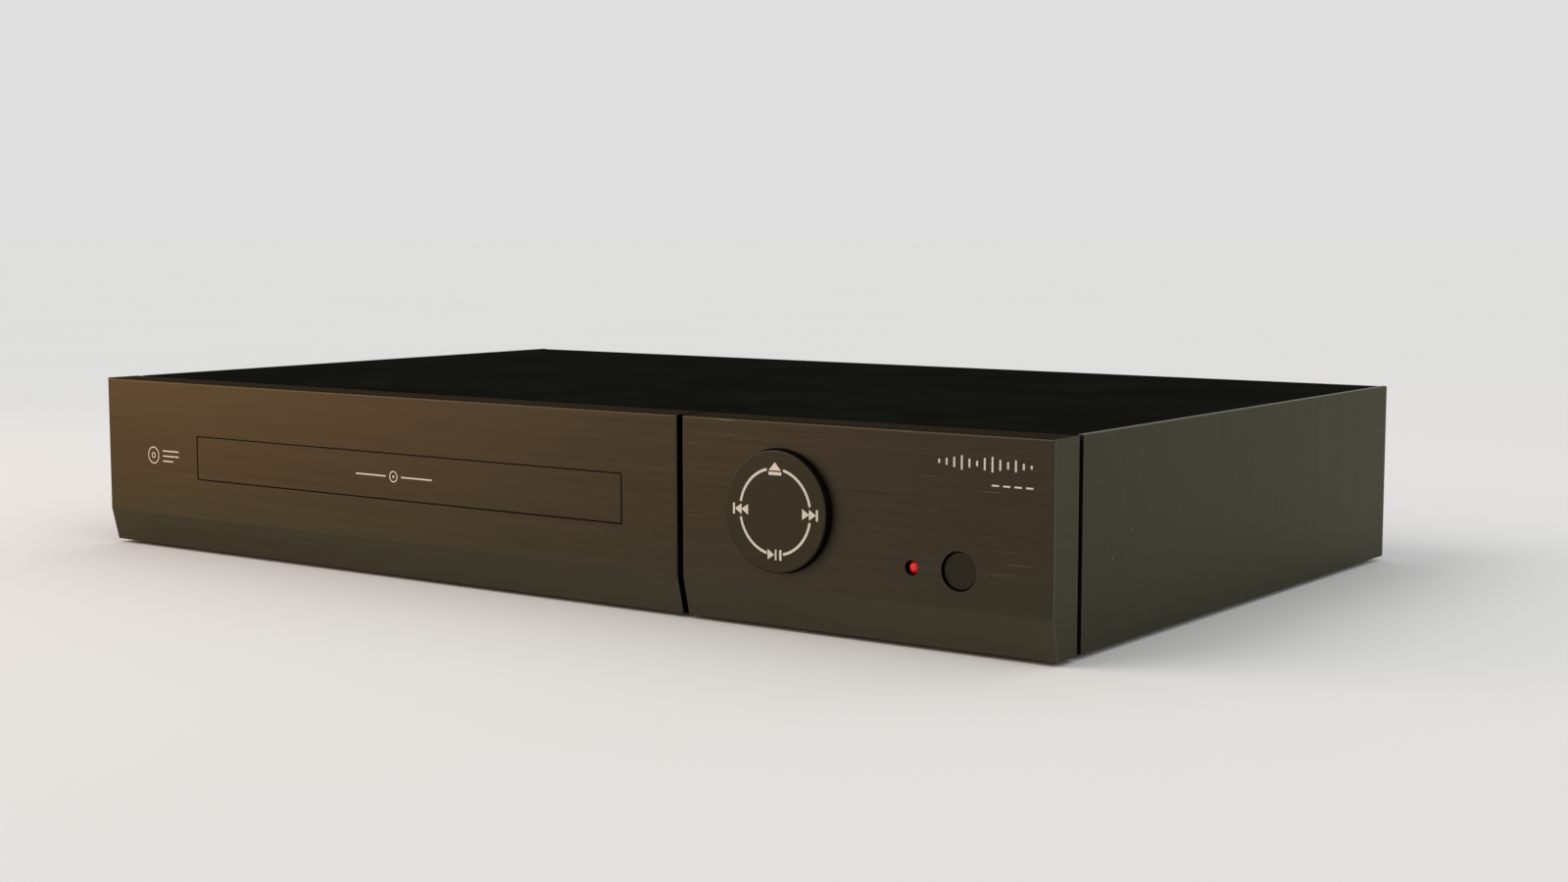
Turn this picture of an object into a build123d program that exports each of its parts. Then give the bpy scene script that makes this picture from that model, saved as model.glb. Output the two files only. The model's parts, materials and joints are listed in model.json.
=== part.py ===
from build123d import *
import os
from math import cos, degrees, pi, radians, sin, tan

# A full-width disc player, standing on its feet and seen from its front.
# X runs to the right, Y to the rear and Z up. Z is 0 under the feet, and the middle of the
# whole player's outline is at X 0, Y 0. "Depth" below is measured from the front face to the
# rear, and "height" from the underside of the cabinet, which the feet hold off the shelf.

# ---- Driving dimensions, in millimetres ----

# Cabinet
body_width = 430.0
body_height = 65.0
body_depth = 256.5
foot_proud = 1.5
foot_radius = 10.0
foot_inset_x = 32.0
foot_inset_front = 36.0
foot_inset_rear = 26.0
foot_stem_radius = 2.4
foot_barb_radius = 3.4
foot_barb_height = 1.8

# Sheets and walls
fascia_wall = 2.2
side_wall = 2.0
cover_sheet = 1.0
pan_sheet = 1.0
rear_sheet = 1.0
moulding_wall = 1.8
board_sheet = 1.6
seam = 0.2

# Front: two hollow sections on a recessed black sub-frame
fascia_depth = 14.3
slope_height = 12.6
slope_back = 3.0
fascia_edge_radius = 0.7
shadow_gap = 2.45
control_section = 136.95
split_gap = 1.9
plate_setback = 0.5
plate_inset = 3.0
rim_length = 9.2
rim_clearance = 1.0
lip_length = 3.8
fascia_boss_radius = 3.6
fascia_rib = 1.4
fascia_rib_depth = 2.2
fascia_rib_inset = 40.0
fascia_boss_inset = 25.0

# Tray door, flush in the left section
door_left_margin = 54.3
door_right_margin = 24.75
door_height_mid = 36.05
door_height = 16.5
door_sheet = 2.4
door_side_gap = 0.45
door_edge_gap = 0.3
door_rib_depth = 1.6

# Four-way pad, power button and standby lamp in the right section
pad_inset = 96.95
pad_height = 37.0
pad_radius = 19.25
pad_proud = 2.8
pad_gap = 0.4
pad_face = 2.0
pad_wall = 1.75
pad_tail = 1.5
pad_edge_radius = 0.5
pad_pivot_depth = 3.6
pad_tilt = 2.0
gimbal_outer = 18.6
gimbal_width = 2.2
gimbal_thickness = 2.0
pivot_pin_radius = 0.6
pivot_play = 0.05
key_radius = 12.0
pusher_radius = 1.9
button_inset = 31.8
button_height = 24.0
button_radius = 5.75
button_recess = 0.8
button_gap = 0.3
button_travel = 1.0
lamp_spacing = 16.4
lamp_height = 23.6
lamp_radius = 2.1
lamp_gap = 0.25
lamp_recess = 0.7

# Key board and its switches, behind the right section
key_board_depth = 9.4
key_board_low = 8.5
key_board_start = 6.0
key_board_end_gap = 12.2
key_screw_edge = 4.0
key_screw_upper_reach = 46.0
key_screw_lower_reach = 52.0
key_screw_end = 16.0
switch_size = 6.0
switch_body = 3.5
switch_play = 0.15
ribbon_width = 12.0
ribbon_sheet = 0.4
ribbon_height = 10.5
ribbon_offset = 16.0

# Disc and tray
disc_radius = 60.0
small_disc_radius = 40.0
disc_thickness = 1.2
disc_play = 0.5
disc_depth = 78.0
tray_edge = 10.5
tray_drop = 2.55
tray_thickness = 7.5
tray_wall = 2.0
well_step = 3.2
small_well_step = 1.9
slot_width = 42.0
scallop_length = 36.0
tray_clear_ahead = 4.0
tray_tail = 5.0
tray_play = 0.4

# Loader: frame, gear train and clamp
loader_gap = 1.75
loader_rear_room = 12.0
loader_base_height = 9.0
loader_base = 2.5
loader_wall = 2.4
ledge_width = 7.0
ledge = 1.8
guide_play = 0.2
rail_window_length = 28.0
rail_window_pitch = 45.0
rack_module = 1.0
pinion_teeth = 20
rack_back_width = 4.3
rack_height = 5.0
gear_module = 0.8
drive_teeth = 36
reduction_teeth = 15
gear_face = 4.0
gear_play = 0.06
backlash_share = 0.2
axle_radius = 2.0
axle_setback = 16.5
pulley_radius = 12.5
motor_pulley_radius = 4.2
pulley_groove = 1.5
pulley_width = 4.5
belt_thickness = 1.2
belt_width = 1.4
belt_play = 0.15
loading_motor_x = 30.0
loading_motor_radius = 10.0
loading_motor_length = 12.0
motor_shell = 2.6
motor_end_plate = 0.8
motor_shaft_radius = 1.0
rotor_gap = 0.5
bridge_width = 28.0
bridge_sheet = 2.5
clamp_hole_radius = 14.5
clamp_boss_radius = 13.5
clamp_flange_radius = 17.0
clamp_flange = 1.5

# Traverse deck, spindle and pickup
deck_width = 72.0
deck_setback = 19.5
deck_heel = 3.0
deck_below_tray = 6.5
deck_skirt = 8.0
deck_sheet = 2.0
deck_window = 42.0
window_setback = 14.5
window_play = 1.7
deck_pivot_setback = 5.5
deck_pivot_drop = 4.0
deck_pin_radius = 1.5
deck_drop = 4.0
spindle_motor_radius = 12.5
spindle_motor_height = 6.0
turntable_radius = 15.0
hub_radius = 7.4
hub_height = 2.0
spindle_radius = 1.2
clamp_lift = 0.7
rod_radius = 1.5
rod_spacing = 36.0
rod_drop = 5.0
pickup_length = 30.0
pickup_play = 1.3
pickup_travel = 34.0
lens_setback = 8.2
lens_radius = 3.0
screw_offset = 27.0
screw_radius = 1.5
sled_motor_radius = 6.5
sled_motor_length = 10.0

# Cam slider that raises and lowers the deck's front
slider_travel = 14.0
slider_thickness = 2.4
slider_setback = 5.9
slider_play = 0.2
cam_pin_radius = 1.5

# Rear panel, sockets and boards
rear_inset = 1.5
cover_flange = 12.0
cover_screw_inset = 65.0
pan_flange = 9.0
jack_proud = 6.0
jack_radius = 4.15
jack_pitch = 14.0
jack_columns = 4
jack_low_height = 18.0
jack_inset = 22.0
inlet_inset = 40.0
inlet_mid_height = 22.0
inlet_width = 22.0
inlet_tall = 14.0
inlet_length = 18.0
board_height = 8.0
board_side_gap = 8.0
board_front_gap = 58.25
board_rear_gap = 4.0
board_post_inset = 6.0
board_post_rear = 26.0
main_board_gap = 19.9
power_board_gap = 14.5
transformer_width = 34.0
transformer_length = 28.0
transformer_height = 25.0
sink_width = 50.0
sink_height = 30.0
large_filter_height = 32.0
small_filter_height = 20.0
small_filter_offset = -4.0
small_filter_pitch = 14.0

# Screws
screw_shank = 1.4
screw_head = 2.7
screw_head_height = 1.8
screw_hole = 1.6
post_radius = 3.4

# ---- Sizes that follow from those ----

front_y = pad_proud - (pad_proud + body_depth + jack_proud) / 2
split_x = body_width / 2 - control_section
door_width = body_width - control_section - door_left_margin - door_right_margin
door_x = -body_width / 2 + door_left_margin + door_width / 2
pad_x = body_width / 2 - pad_inset
button_x = body_width / 2 - button_inset
lamp_x = button_x - lamp_spacing
panel_front = fascia_depth + shadow_gap
inner_half = body_width / 2 - side_wall
plate_front = fascia_depth + plate_setback
plate_back = plate_front + moulding_wall
rear_front = body_depth - rear_inset - rear_sheet - cover_sheet
cover_rear = rear_front + rear_sheet + cover_sheet
cover_underside = body_height - cover_sheet
foot_points = [
    (side * (body_width / 2 - foot_inset_x), depth)
    for side in (-1, 1)
    for depth in (foot_inset_front, body_depth - foot_inset_rear)
]

tray_width = 2 * (disc_radius + disc_play + tray_edge)
tray_underside = door_height_mid - tray_drop
tray_travel = disc_depth + disc_radius + tray_clear_ahead
tray_top = tray_underside + tray_thickness
well_floor = tray_top - well_step
small_well_floor = well_floor - small_well_step
platform_height = well_floor + clamp_lift
tray_front = door_sheet + door_rib_depth
loader_front = panel_front + loader_gap
drive_axle_depth = loader_front + axle_setback
tray_tail_depth = drive_axle_depth + tray_travel + tray_tail
loader_rear = tray_tail_depth + loader_rear_room
rail_inner = tray_width / 2 + tray_play
rail_outer = rail_inner + loader_wall
rail_top = tray_top + guide_play + ledge
base_top = loader_base_height + loader_base

pinion_radius = rack_module * pinion_teeth / 2
rack_pitch_x = door_x - rail_inner + ledge_width + rack_back_width
drive_x = rack_pitch_x + pinion_radius + rack_module
rack_line_x = drive_x - pinion_radius
drive_radius = gear_module * drive_teeth / 2
reduction_radius = gear_module * reduction_teeth / 2
pulley_x = drive_x + drive_radius + reduction_radius
motor_x = door_x + loading_motor_x
gear_low = base_top + 1.0
pulley_low = gear_low + gear_face + 1.0
rack_low = tray_underside - rack_height
deck_top = tray_underside - deck_below_tray
deck_pivot_height = deck_top - deck_pivot_drop
rod_height = deck_top - rod_drop
spindle_top = deck_top + spindle_motor_height
deck_front = drive_axle_depth + deck_setback
window_front = disc_depth + window_setback
pickup_start = window_front + pickup_play
pickup_rear = pickup_start + pickup_length
lens_depth = pickup_start + lens_setback
window_rear = pickup_rear + pickup_travel + window_play
deck_pivot_depth = window_rear + deck_pivot_setback
deck_rear = deck_pivot_depth + deck_heel
slider_depth = deck_front - slider_setback
slider_low = base_top + slider_play
cam_reach = deck_pivot_depth - (slider_depth + slider_thickness / 2)
cam_fall = cam_reach * sin(radians(deck_drop))

main_board_left = door_x + rail_outer + main_board_gap
main_board_right = inner_half - board_side_gap
power_board_left = -inner_half + board_side_gap
power_board_right = door_x - rail_outer - power_board_gap
boards_front = panel_front + board_front_gap
boards_rear = rear_front - board_rear_gap
board_top = board_height + board_sheet
jack_first_x = main_board_left + jack_inset
inlet_x = -body_width / 2 + inlet_inset
inlet_rear = rear_front + rear_sheet + 0.8


def behind(depth):
    """Y of a place this far behind the front face."""
    return front_y + depth


def above(height):
    """Z of a place this far above the cabinet's underside."""
    return foot_proud + height


def upright(depth):
    """A plane facing the viewer, X to the right and Z up, this far behind the front face."""
    return Plane.XZ.offset(-behind(depth))


def level(height):
    """A horizontal plane this far above the cabinet's underside."""
    return Plane.XY.offset(above(height))


def across(x):
    """A plane square to X, with Y to its right and Z up."""
    return Plane.YZ.offset(x)


def block(x0, x1, depth0, depth1, height0, height1, mode=Mode.ADD):
    """Adds or cuts a block between two corners, given in X, depth and height."""
    middle = ((x0 + x1) / 2, behind((depth0 + depth1) / 2), above((height0 + height1) / 2))
    with Locations(middle):
        Box(x1 - x0, depth1 - depth0, height1 - height0, mode=mode)


def post(x, depth, radius, height0, height1, mode=Mode.ADD):
    """Adds or cuts an upright round post."""
    with BuildSketch(level(height0)) as ring:
        with Locations((x, behind(depth))):
            Circle(radius)
    extrude(ring.sketch, amount=height1 - height0, mode=mode)


def stub(x, height, radius, depth0, depth1, mode=Mode.ADD):
    """Adds or cuts a round stub that runs from front to rear."""
    with BuildSketch(upright(depth0)) as ring:
        with Locations((x, above(height))):
            Circle(radius)
    extrude(ring.sketch, amount=depth0 - depth1, mode=mode)


def cross_pin(x0, x1, depth, height, radius, mode=Mode.ADD):
    """Adds or cuts a round pin along X."""
    with BuildSketch(across(x0)) as ring:
        with Locations((behind(depth), above(height))):
            Circle(radius)
    extrude(ring.sketch, amount=x1 - x0, mode=mode)


def downward_screw(x, depth, head_seat, length):
    """Adds a screw with its head on top of head_seat."""
    post(x, depth, screw_shank, head_seat - length, head_seat)
    post(x, depth, screw_head, head_seat, head_seat + screw_head_height)


def rearward_screw(x, height, head_seat, length, facing=-1):
    """Adds a screw along Y whose head faces the front (-1) or the rear (1)."""
    tip = head_seat - facing * length
    crown = head_seat + facing * screw_head_height
    stub(x, height, screw_shank, min(head_seat, tip), max(head_seat, tip))
    stub(x, height, screw_head, min(head_seat, crown), max(head_seat, crown))


def gear_face_outline(teeth, module):
    """Adds a spur gear's outline to the open sketch, with a tooth on its +X side."""
    pitch = module * teeth / 2
    root = pitch - 1.15 * module
    tip = pitch + 0.9 * module
    half = pi * module / 4 * (1 - backlash_share)
    lean = tan(radians(20))
    tip_half = half - lean * (tip - pitch)
    root_half = half + lean * (pitch - root)
    Circle(root)
    with PolarLocations(0, teeth):
        Polygon(
            (root * 0.97, -root_half),
            (tip, -tip_half),
            (tip, tip_half),
            (root * 0.97, root_half),
            align=None,
        )


def save(piece, name):
    """Labels a finished piece and writes it under that name."""
    piece.part.label = name
    export_step(piece.part, f"parts/{name}.step")


os.makedirs("parts", exist_ok=True)

# ==== Cabinet ====

# ---- Base pan: folded sheet with side and rear flanges, stand-offs and vents ----

loader_posts = [
    (door_x + side * (rail_inner - 4.0), depth)
    for side in (-1, 1)
    for depth in (loader_front + 5.5, loader_rear - 8.0)
]
main_posts = [
    (x, depth)
    for x in (main_board_left + board_post_inset, main_board_right - board_post_inset)
    for depth in (boards_front + board_post_inset, boards_rear - board_post_rear)
]
power_posts = [
    (x, depth)
    for x in (power_board_left + board_post_inset, power_board_right - board_post_inset)
    for depth in (boards_front + board_post_inset, boards_rear - board_post_rear)
]
pan_half = inner_half - seam
vent_length = 34.0
vent_width = 3.0
vent_pitch = 8.0

with BuildPart() as base_pan:
    with BuildSketch(level(0)):
        with Locations((0, behind((panel_front + rear_front) / 2))):
            Rectangle(2 * pan_half, rear_front - panel_front)
    extrude(amount=pan_sheet)
    flange_front = plate_back + lip_length + 0.5
    with BuildSketch(level(pan_sheet)):
        with Locations((0, behind((flange_front + rear_front) / 2))):
            Rectangle(2 * pan_half, rear_front - flange_front)
        with Locations((0, behind((flange_front + rear_front) / 2 - pan_sheet))):
            Rectangle(2 * (pan_half - pan_sheet), rear_front - flange_front, mode=Mode.SUBTRACT)
    extrude(amount=pan_flange - pan_sheet)
    for x, depth in loader_posts:
        post(x, depth, post_radius, pan_sheet, loader_base_height)
    for x, depth in main_posts + power_posts:
        post(x, depth, post_radius, pan_sheet, board_height)
    for x, depth in loader_posts:
        post(x, depth, screw_hole, pan_sheet, loader_base_height, Mode.SUBTRACT)
    for x, depth in main_posts + power_posts:
        post(x, depth, screw_hole, pan_sheet, board_height, Mode.SUBTRACT)
    with BuildSketch(level(0)):
        for middle in ((main_board_left + main_board_right) / 2, (power_board_left + power_board_right) / 2):
            with Locations((middle, behind((boards_front + boards_rear) / 2))):
                with GridLocations(vent_length, vent_pitch, 1, 6):
                    SlotOverall(vent_length, vent_width)
    extrude(amount=pan_sheet, mode=Mode.SUBTRACT)
    for x, depth in foot_points:
        post(x, depth, foot_stem_radius + seam, 0, pan_sheet, Mode.SUBTRACT)
save(base_pan, "base_pan")

# ---- Feet: low rubber discs with a barbed stem pushed through the pan ----

with BuildPart() as feet:
    for x, depth in foot_points:
        with BuildSketch(upright(depth)):
            with BuildLine():
                Polyline(
                    (x, 0),
                    (x + foot_radius - 0.5, 0),
                    (x + foot_radius, foot_proud / 2),
                    (x + foot_radius - 0.3, foot_proud),
                    (x + foot_stem_radius, foot_proud),
                    (x + foot_stem_radius, foot_proud + pan_sheet + seam),
                    (x + foot_barb_radius, foot_proud + pan_sheet + seam),
                    (x + foot_stem_radius, foot_proud + pan_sheet + seam + foot_barb_height),
                    (x, foot_proud + pan_sheet + seam + foot_barb_height),
                    close=True,
                )
            make_face()
        revolve(axis=Axis((x, behind(depth), 0), (0, 0, 1)))
save(feet, "feet")

# ---- Side panels: brushed cheeks with an inward flange that carries the cover ----

flange_reach = 9.0
flange_sheet = 1.6


def side_panel(side):
    """Adds the cheek on one side: -1 for the left, 1 for the right."""
    outer = side * body_width / 2
    inner = side * inner_half
    with BuildSketch(upright(panel_front)) as profile:
        with BuildLine():
            Polyline(
                (outer, above(0)),
                (outer, above(body_height)),
                (inner, above(body_height)),
                (inner, above(cover_underside)),
                (inner - side * flange_reach, above(cover_underside)),
                (inner - side * flange_reach, above(cover_underside - flange_sheet)),
                (inner, above(cover_underside - flange_sheet)),
                (inner, above(0)),
                close=True,
            )
        make_face()
    extrude(profile.sketch, amount=-(body_depth - panel_front))
    fillet(edges().filter_by(Axis.Y).filter_by(lambda e: abs(e.center().X - outer) < seam), radius=0.4)
    # The flange stops short of the front lip and of the rear panel.
    ends = (
        (panel_front, plate_back + lip_length + seam),
        (rear_front - flange_reach - seam, body_depth),
    )
    for depth0, depth1 in ends:
        low, high = sorted((inner, inner - side * flange_reach))
        block(low, high, depth0, depth1, cover_underside - flange_sheet, cover_underside, Mode.SUBTRACT)


with BuildPart() as side_panel_left:
    side_panel(-1)
save(side_panel_left, "side_panel_left")

with BuildPart() as side_panel_right:
    side_panel(1)
save(side_panel_right, "side_panel_right")

# ---- Top cover: flat sheet with its rear edge folded down over the rear panel ----

cover_screw_pitch = (body_width - 2 * cover_screw_inset) / 3
cover_screw_x = [(n - 1.5) * cover_screw_pitch for n in range(4)]
cover_screw_height = cover_underside - cover_flange / 2

with BuildPart() as top_cover:
    with BuildSketch(across(-pan_half)):
        with BuildLine():
            Polyline(
                (behind(panel_front), above(body_height)),
                (behind(cover_rear), above(body_height)),
                (behind(cover_rear), above(body_height - cover_flange)),
                (behind(cover_rear - cover_sheet), above(body_height - cover_flange)),
                (behind(cover_rear - cover_sheet), above(cover_underside)),
                (behind(panel_front), above(cover_underside)),
                close=True,
            )
        make_face()
    extrude(amount=2 * pan_half)
    fold = edges().filter_by(Axis.X).sort_by(lambda e: -e.center().Y - e.center().Z)[0]
    fillet(fold, radius=0.8)
    for x in cover_screw_x:
        stub(x, cover_screw_height, screw_hole, cover_rear - 2 * cover_sheet, cover_rear, Mode.SUBTRACT)
save(top_cover, "top_cover")

# ---- Rear panel: punched sheet with a forward flange at its top ----

jack_x = [jack_first_x + jack_pitch * n for n in range(jack_columns)]
jack_heights = (jack_low_height, jack_low_height + jack_pitch)
rear_vent_x = (inlet_x + jack_first_x) / 2
rear_vent_count = 8
rear_vent_pitch = 9.0
rear_vent_length = 26.0

with BuildPart() as rear_panel:
    with BuildSketch(across(-pan_half)):
        with BuildLine():
            Polyline(
                (behind(rear_front), above(pan_sheet)),
                (behind(rear_front + rear_sheet), above(pan_sheet)),
                (behind(rear_front + rear_sheet), above(cover_underside)),
                (behind(rear_front - flange_reach), above(cover_underside)),
                (behind(rear_front - flange_reach), above(cover_underside - rear_sheet)),
                (behind(rear_front), above(cover_underside - rear_sheet)),
                close=True,
            )
        make_face()
    extrude(amount=2 * pan_half)
    with BuildSketch(upright(rear_front + rear_sheet)):
        for height in jack_heights:
            for x in jack_x:
                with Locations((x, above(height))):
                    Circle(jack_radius + seam)
        with Locations((inlet_x, above(inlet_mid_height))):
            Rectangle(inlet_width + 2 * seam, inlet_tall + 2 * seam)
        with Locations((rear_vent_x, above(body_height / 2))):
            with GridLocations(rear_vent_pitch, 1, rear_vent_count, 1):
                SlotOverall(rear_vent_length, vent_width, rotation=90)
        for x in cover_screw_x:
            with Locations((x, above(cover_screw_height))):
                Circle(screw_hole)
    extrude(amount=rear_sheet, mode=Mode.SUBTRACT)
save(rear_panel, "rear_panel")

# ---- Front sub-frame: black moulding that shows only in the gaps ----

split_left = split_x - split_gap / 2
split_right = split_x + split_gap / 2
rim_inset = fascia_wall + rim_clearance
rim_front = plate_front - rim_length
tunnel_half = tray_width / 2 + 1.5
tunnel_low = door_height_mid - door_height / 2
tunnel_high = door_height_mid + door_height / 2
left_boss_x = (-body_width / 2 + fascia_boss_inset, split_x - 16.05)
right_boss_x = (split_x + 11.95, body_width / 2 - 10.0)
fascia_bosses_left = [(x, height) for x in left_boss_x for height in (20.0, body_height - 13.0)]
fascia_bosses_right = [
    (right_boss_x[0], 12.0),
    (right_boss_x[1], 12.0),
    (right_boss_x[1], body_height - 15.0),
]
key_board_left = pad_x - pad_radius - key_board_start
key_board_width = body_width / 2 - key_board_end_gap - key_board_left
key_board_height = body_height - 2 * key_board_low
ribbon_x = pad_x + ribbon_offset
key_board_screws = [
    (key_board_left + key_screw_upper_reach, key_board_low + key_board_height - key_screw_edge),
    (key_board_left + key_screw_lower_reach, key_board_low + key_screw_edge),
    (
        key_board_left + key_board_width - key_screw_end,
        key_board_low + key_board_height - key_screw_edge,
    ),
]


def nested_rim(x0, x1):
    """Adds the rim that stands inside one front section."""
    low, high = rim_inset, body_height - rim_inset
    with BuildSketch(upright(rim_front)) as rim:
        with Locations(((x0 + x1) / 2, above((low + high) / 2))):
            Rectangle(x1 - x0, high - low)
            Rectangle(x1 - x0 - 2 * moulding_wall, high - low - 2 * moulding_wall, mode=Mode.SUBTRACT)
    extrude(rim.sketch, amount=-rim_length)


with BuildPart() as front_subframe:
    with BuildSketch(upright(plate_front)):
        with Locations((0, above(body_height / 2))):
            Rectangle(body_width - 2 * plate_inset, body_height - 2 * plate_inset)
    extrude(amount=-moulding_wall)
    nested_rim(-body_width / 2 + rim_inset, split_left - rim_inset)
    nested_rim(split_right + rim_inset, body_width / 2 - rim_inset)
    # Rear lip: the cover, the pan and the side panels close on it.
    with BuildSketch(upright(plate_back)):
        with Locations((0, above((pan_sheet + cover_underside) / 2))):
            Rectangle(2 * pan_half, cover_underside - pan_sheet)
            Rectangle(
                2 * (pan_half - moulding_wall),
                cover_underside - pan_sheet - 2 * moulding_wall,
                mode=Mode.SUBTRACT,
            )
    extrude(amount=-lip_length)
    with BuildSketch(upright(plate_back)):
        with Locations((0, above(body_height / 2))):
            Rectangle(2 * (pan_half - moulding_wall / 2), body_height - 2 * plate_inset)
            Rectangle(
                2 * (pan_half - 2 * moulding_wall),
                body_height - 2 * plate_inset - 2 * moulding_wall,
                mode=Mode.SUBTRACT,
            )
    extrude(amount=-moulding_wall)
    # Tunnel that the tray runs through.
    with BuildSketch(upright(rim_front + 1.0)):
        with Locations((door_x, above(door_height_mid))):
            Rectangle(2 * (tunnel_half + moulding_wall), door_height + 2 * moulding_wall)
    extrude(amount=-(rim_length - 1.0))
    with BuildSketch(upright(rim_front)):
        with Locations((door_x, above(door_height_mid))):
            Rectangle(2 * tunnel_half, door_height)
    extrude(amount=-(rim_length + moulding_wall), mode=Mode.SUBTRACT)
    # Posts for the key board, and a slot for its ribbon.
    for x, height in key_board_screws:
        stub(x, height, post_radius, key_board_depth + board_sheet, plate_front)
        stub(x, height, screw_hole, key_board_depth + board_sheet, plate_front, Mode.SUBTRACT)
    slot_half = ribbon_width / 2 + 2.0
    block(
        ribbon_x - slot_half, ribbon_x + slot_half, plate_front, plate_back,
        ribbon_height - 1.5, ribbon_height + 1.5, Mode.SUBTRACT,
    )
    for x, height in fascia_bosses_left + fascia_bosses_right:
        stub(x, height, screw_hole, plate_front, plate_back, Mode.SUBTRACT)
save(front_subframe, "front_subframe")


# ---- Front sections: hollow, open to the rear, the lower edge sloped back ----


def fascia_section(x0, x1, bosses):
    """Adds one front section between two values of X."""
    with BuildSketch(across(x0)) as outline:
        with BuildLine():
            Polyline(
                (behind(0), above(slope_height)),
                (behind(0), above(body_height)),
                (behind(fascia_depth), above(body_height)),
                (behind(fascia_depth), above(0)),
                (behind(slope_back), above(0)),
                close=True,
            )
        make_face()
    extrude(outline.sketch, amount=x1 - x0)
    upper = faces().sort_by(Axis.Y)[0].edges().sort_by(Axis.Z)[1:]
    slanted = edges().filter_by(
        lambda e: abs(e.length - (slope_height**2 + slope_back**2) ** 0.5) < 0.01
    )
    fillet(upper + slanted, radius=fascia_edge_radius)
    # Hollow: the same outline, one wall further in, out through the rear.
    lean = slope_back / slope_height
    rise = fascia_wall * ((1 + lean**2) ** 0.5 - 1) / lean
    inner_foot = slope_back - lean * fascia_wall + fascia_wall * (1 + lean**2) ** 0.5
    with BuildSketch(across(x0 + fascia_wall)) as hollow:
        with BuildLine():
            Polyline(
                (behind(fascia_wall), above(slope_height + rise)),
                (behind(fascia_wall), above(body_height - fascia_wall)),
                (behind(fascia_depth + 1), above(body_height - fascia_wall)),
                (behind(fascia_depth + 1), above(fascia_wall)),
                (behind(inner_foot), above(fascia_wall)),
                close=True,
            )
        make_face()
    extrude(hollow.sketch, amount=x1 - x0 - 2 * fascia_wall, mode=Mode.SUBTRACT)
    for x, height in bosses:
        stub(x, height, fascia_boss_radius, fascia_wall, plate_front)


with BuildPart() as front_panel_left:
    fascia_section(-body_width / 2, split_left, fascia_bosses_left)
    # Stiffening ribs above and below the tray opening.
    for height in (tunnel_low - 5.0, tunnel_high + 5.0):
        block(
            -body_width / 2 + fascia_rib_inset, split_x - fascia_rib_inset + 12.0, fascia_wall,
            fascia_wall + fascia_rib_depth, height, height + fascia_rib,
        )
    with BuildSketch(upright(0)):
        with Locations((door_x, above(door_height_mid))):
            RectangleRounded(door_width + 2 * door_side_gap, door_height + 2 * door_edge_gap, 0.5)
    extrude(amount=-fascia_wall, mode=Mode.SUBTRACT)
    for x, height in fascia_bosses_left:
        stub(x, height, screw_hole, fascia_wall + 1, plate_front, Mode.SUBTRACT)
save(front_panel_left, "front_panel_left")

button_collar = button_radius + 2.05
lug_inner = pad_radius + pad_gap + 0.25
lug_outer = lug_inner + 2.2
lug_rear = pad_pivot_depth + 1.3

with BuildPart() as front_panel_right:
    fascia_section(split_right, body_width / 2, fascia_bosses_right)
    # Lugs above and below the pad carry its gimbal.
    for side in (-1, 1):
        low, high = sorted((pad_height + side * lug_inner, pad_height + side * lug_outer))
        block(pad_x - 2.2, pad_x + 2.2, fascia_wall, lug_rear, low, high)
    stub(button_x, button_height, button_collar + 1.2, fascia_wall, fascia_wall + 2.4)
    stub(button_x, button_height, button_collar, fascia_wall, fascia_wall + 2.4, Mode.SUBTRACT)
    for x, height, radius in (
        (pad_x, pad_height, pad_radius + pad_gap),
        (button_x, button_height, button_radius + button_gap),
        (lamp_x, lamp_height, lamp_radius + lamp_gap),
    ):
        stub(x, height, radius, 0, fascia_wall, Mode.SUBTRACT)
    with BuildSketch(level(pad_height - lug_outer)):
        with Locations((pad_x, behind(pad_pivot_depth))):
            Circle(pivot_pin_radius + pivot_play)
    extrude(amount=2 * lug_outer, mode=Mode.SUBTRACT)
    for x, height in fascia_bosses_right:
        stub(x, height, screw_hole, fascia_wall + 1, plate_front, Mode.SUBTRACT)
save(front_panel_right, "front_panel_right")

# ==== Controls ====

# ---- Four-way pad: a hollow disc that rocks in a gimbal and pushes four keys ----

switch_crown = pad_pivot_depth + 0.3
key_swing = key_radius * sin(radians(pad_tilt))
pusher_tip = switch_crown - key_swing - switch_play
leg_outer = gimbal_outer - gimbal_width - 0.3
leg_inner = leg_outer - 1.4

with BuildPart() as control_pad:
    with BuildSketch(upright(-pad_proud)):
        with Locations((pad_x, above(pad_height))):
            Circle(pad_radius)
    extrude(amount=-(pad_proud + pad_tail))
    fillet(faces().sort_by(Axis.Y)[0].edges(), radius=pad_edge_radius)
    stub(pad_x, pad_height, pad_radius - pad_wall, pad_face - pad_proud, pad_tail, Mode.SUBTRACT)
    for turn in range(4):
        x = pad_x + key_radius * cos(turn * pi / 2)
        height = pad_height + key_radius * sin(turn * pi / 2)
        stub(x, height, pusher_radius, pad_face - pad_proud, pusher_tip)
    for side in (-1, 1):
        low, high = sorted((pad_x + side * leg_inner, pad_x + side * leg_outer))
        block(
            low, high, pad_face - pad_proud, pad_pivot_depth + 1.0, pad_height - 2.0, pad_height + 2.0
        )
        low, high = sorted((pad_x + side * leg_inner, pad_x + side * (gimbal_outer - 0.3)))
        cross_pin(low, high, pad_pivot_depth, pad_height, pivot_pin_radius)
save(control_pad, "control_pad")

# ---- Gimbal ring: carries the pad's pins and hangs on the front section's lugs ----

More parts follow.
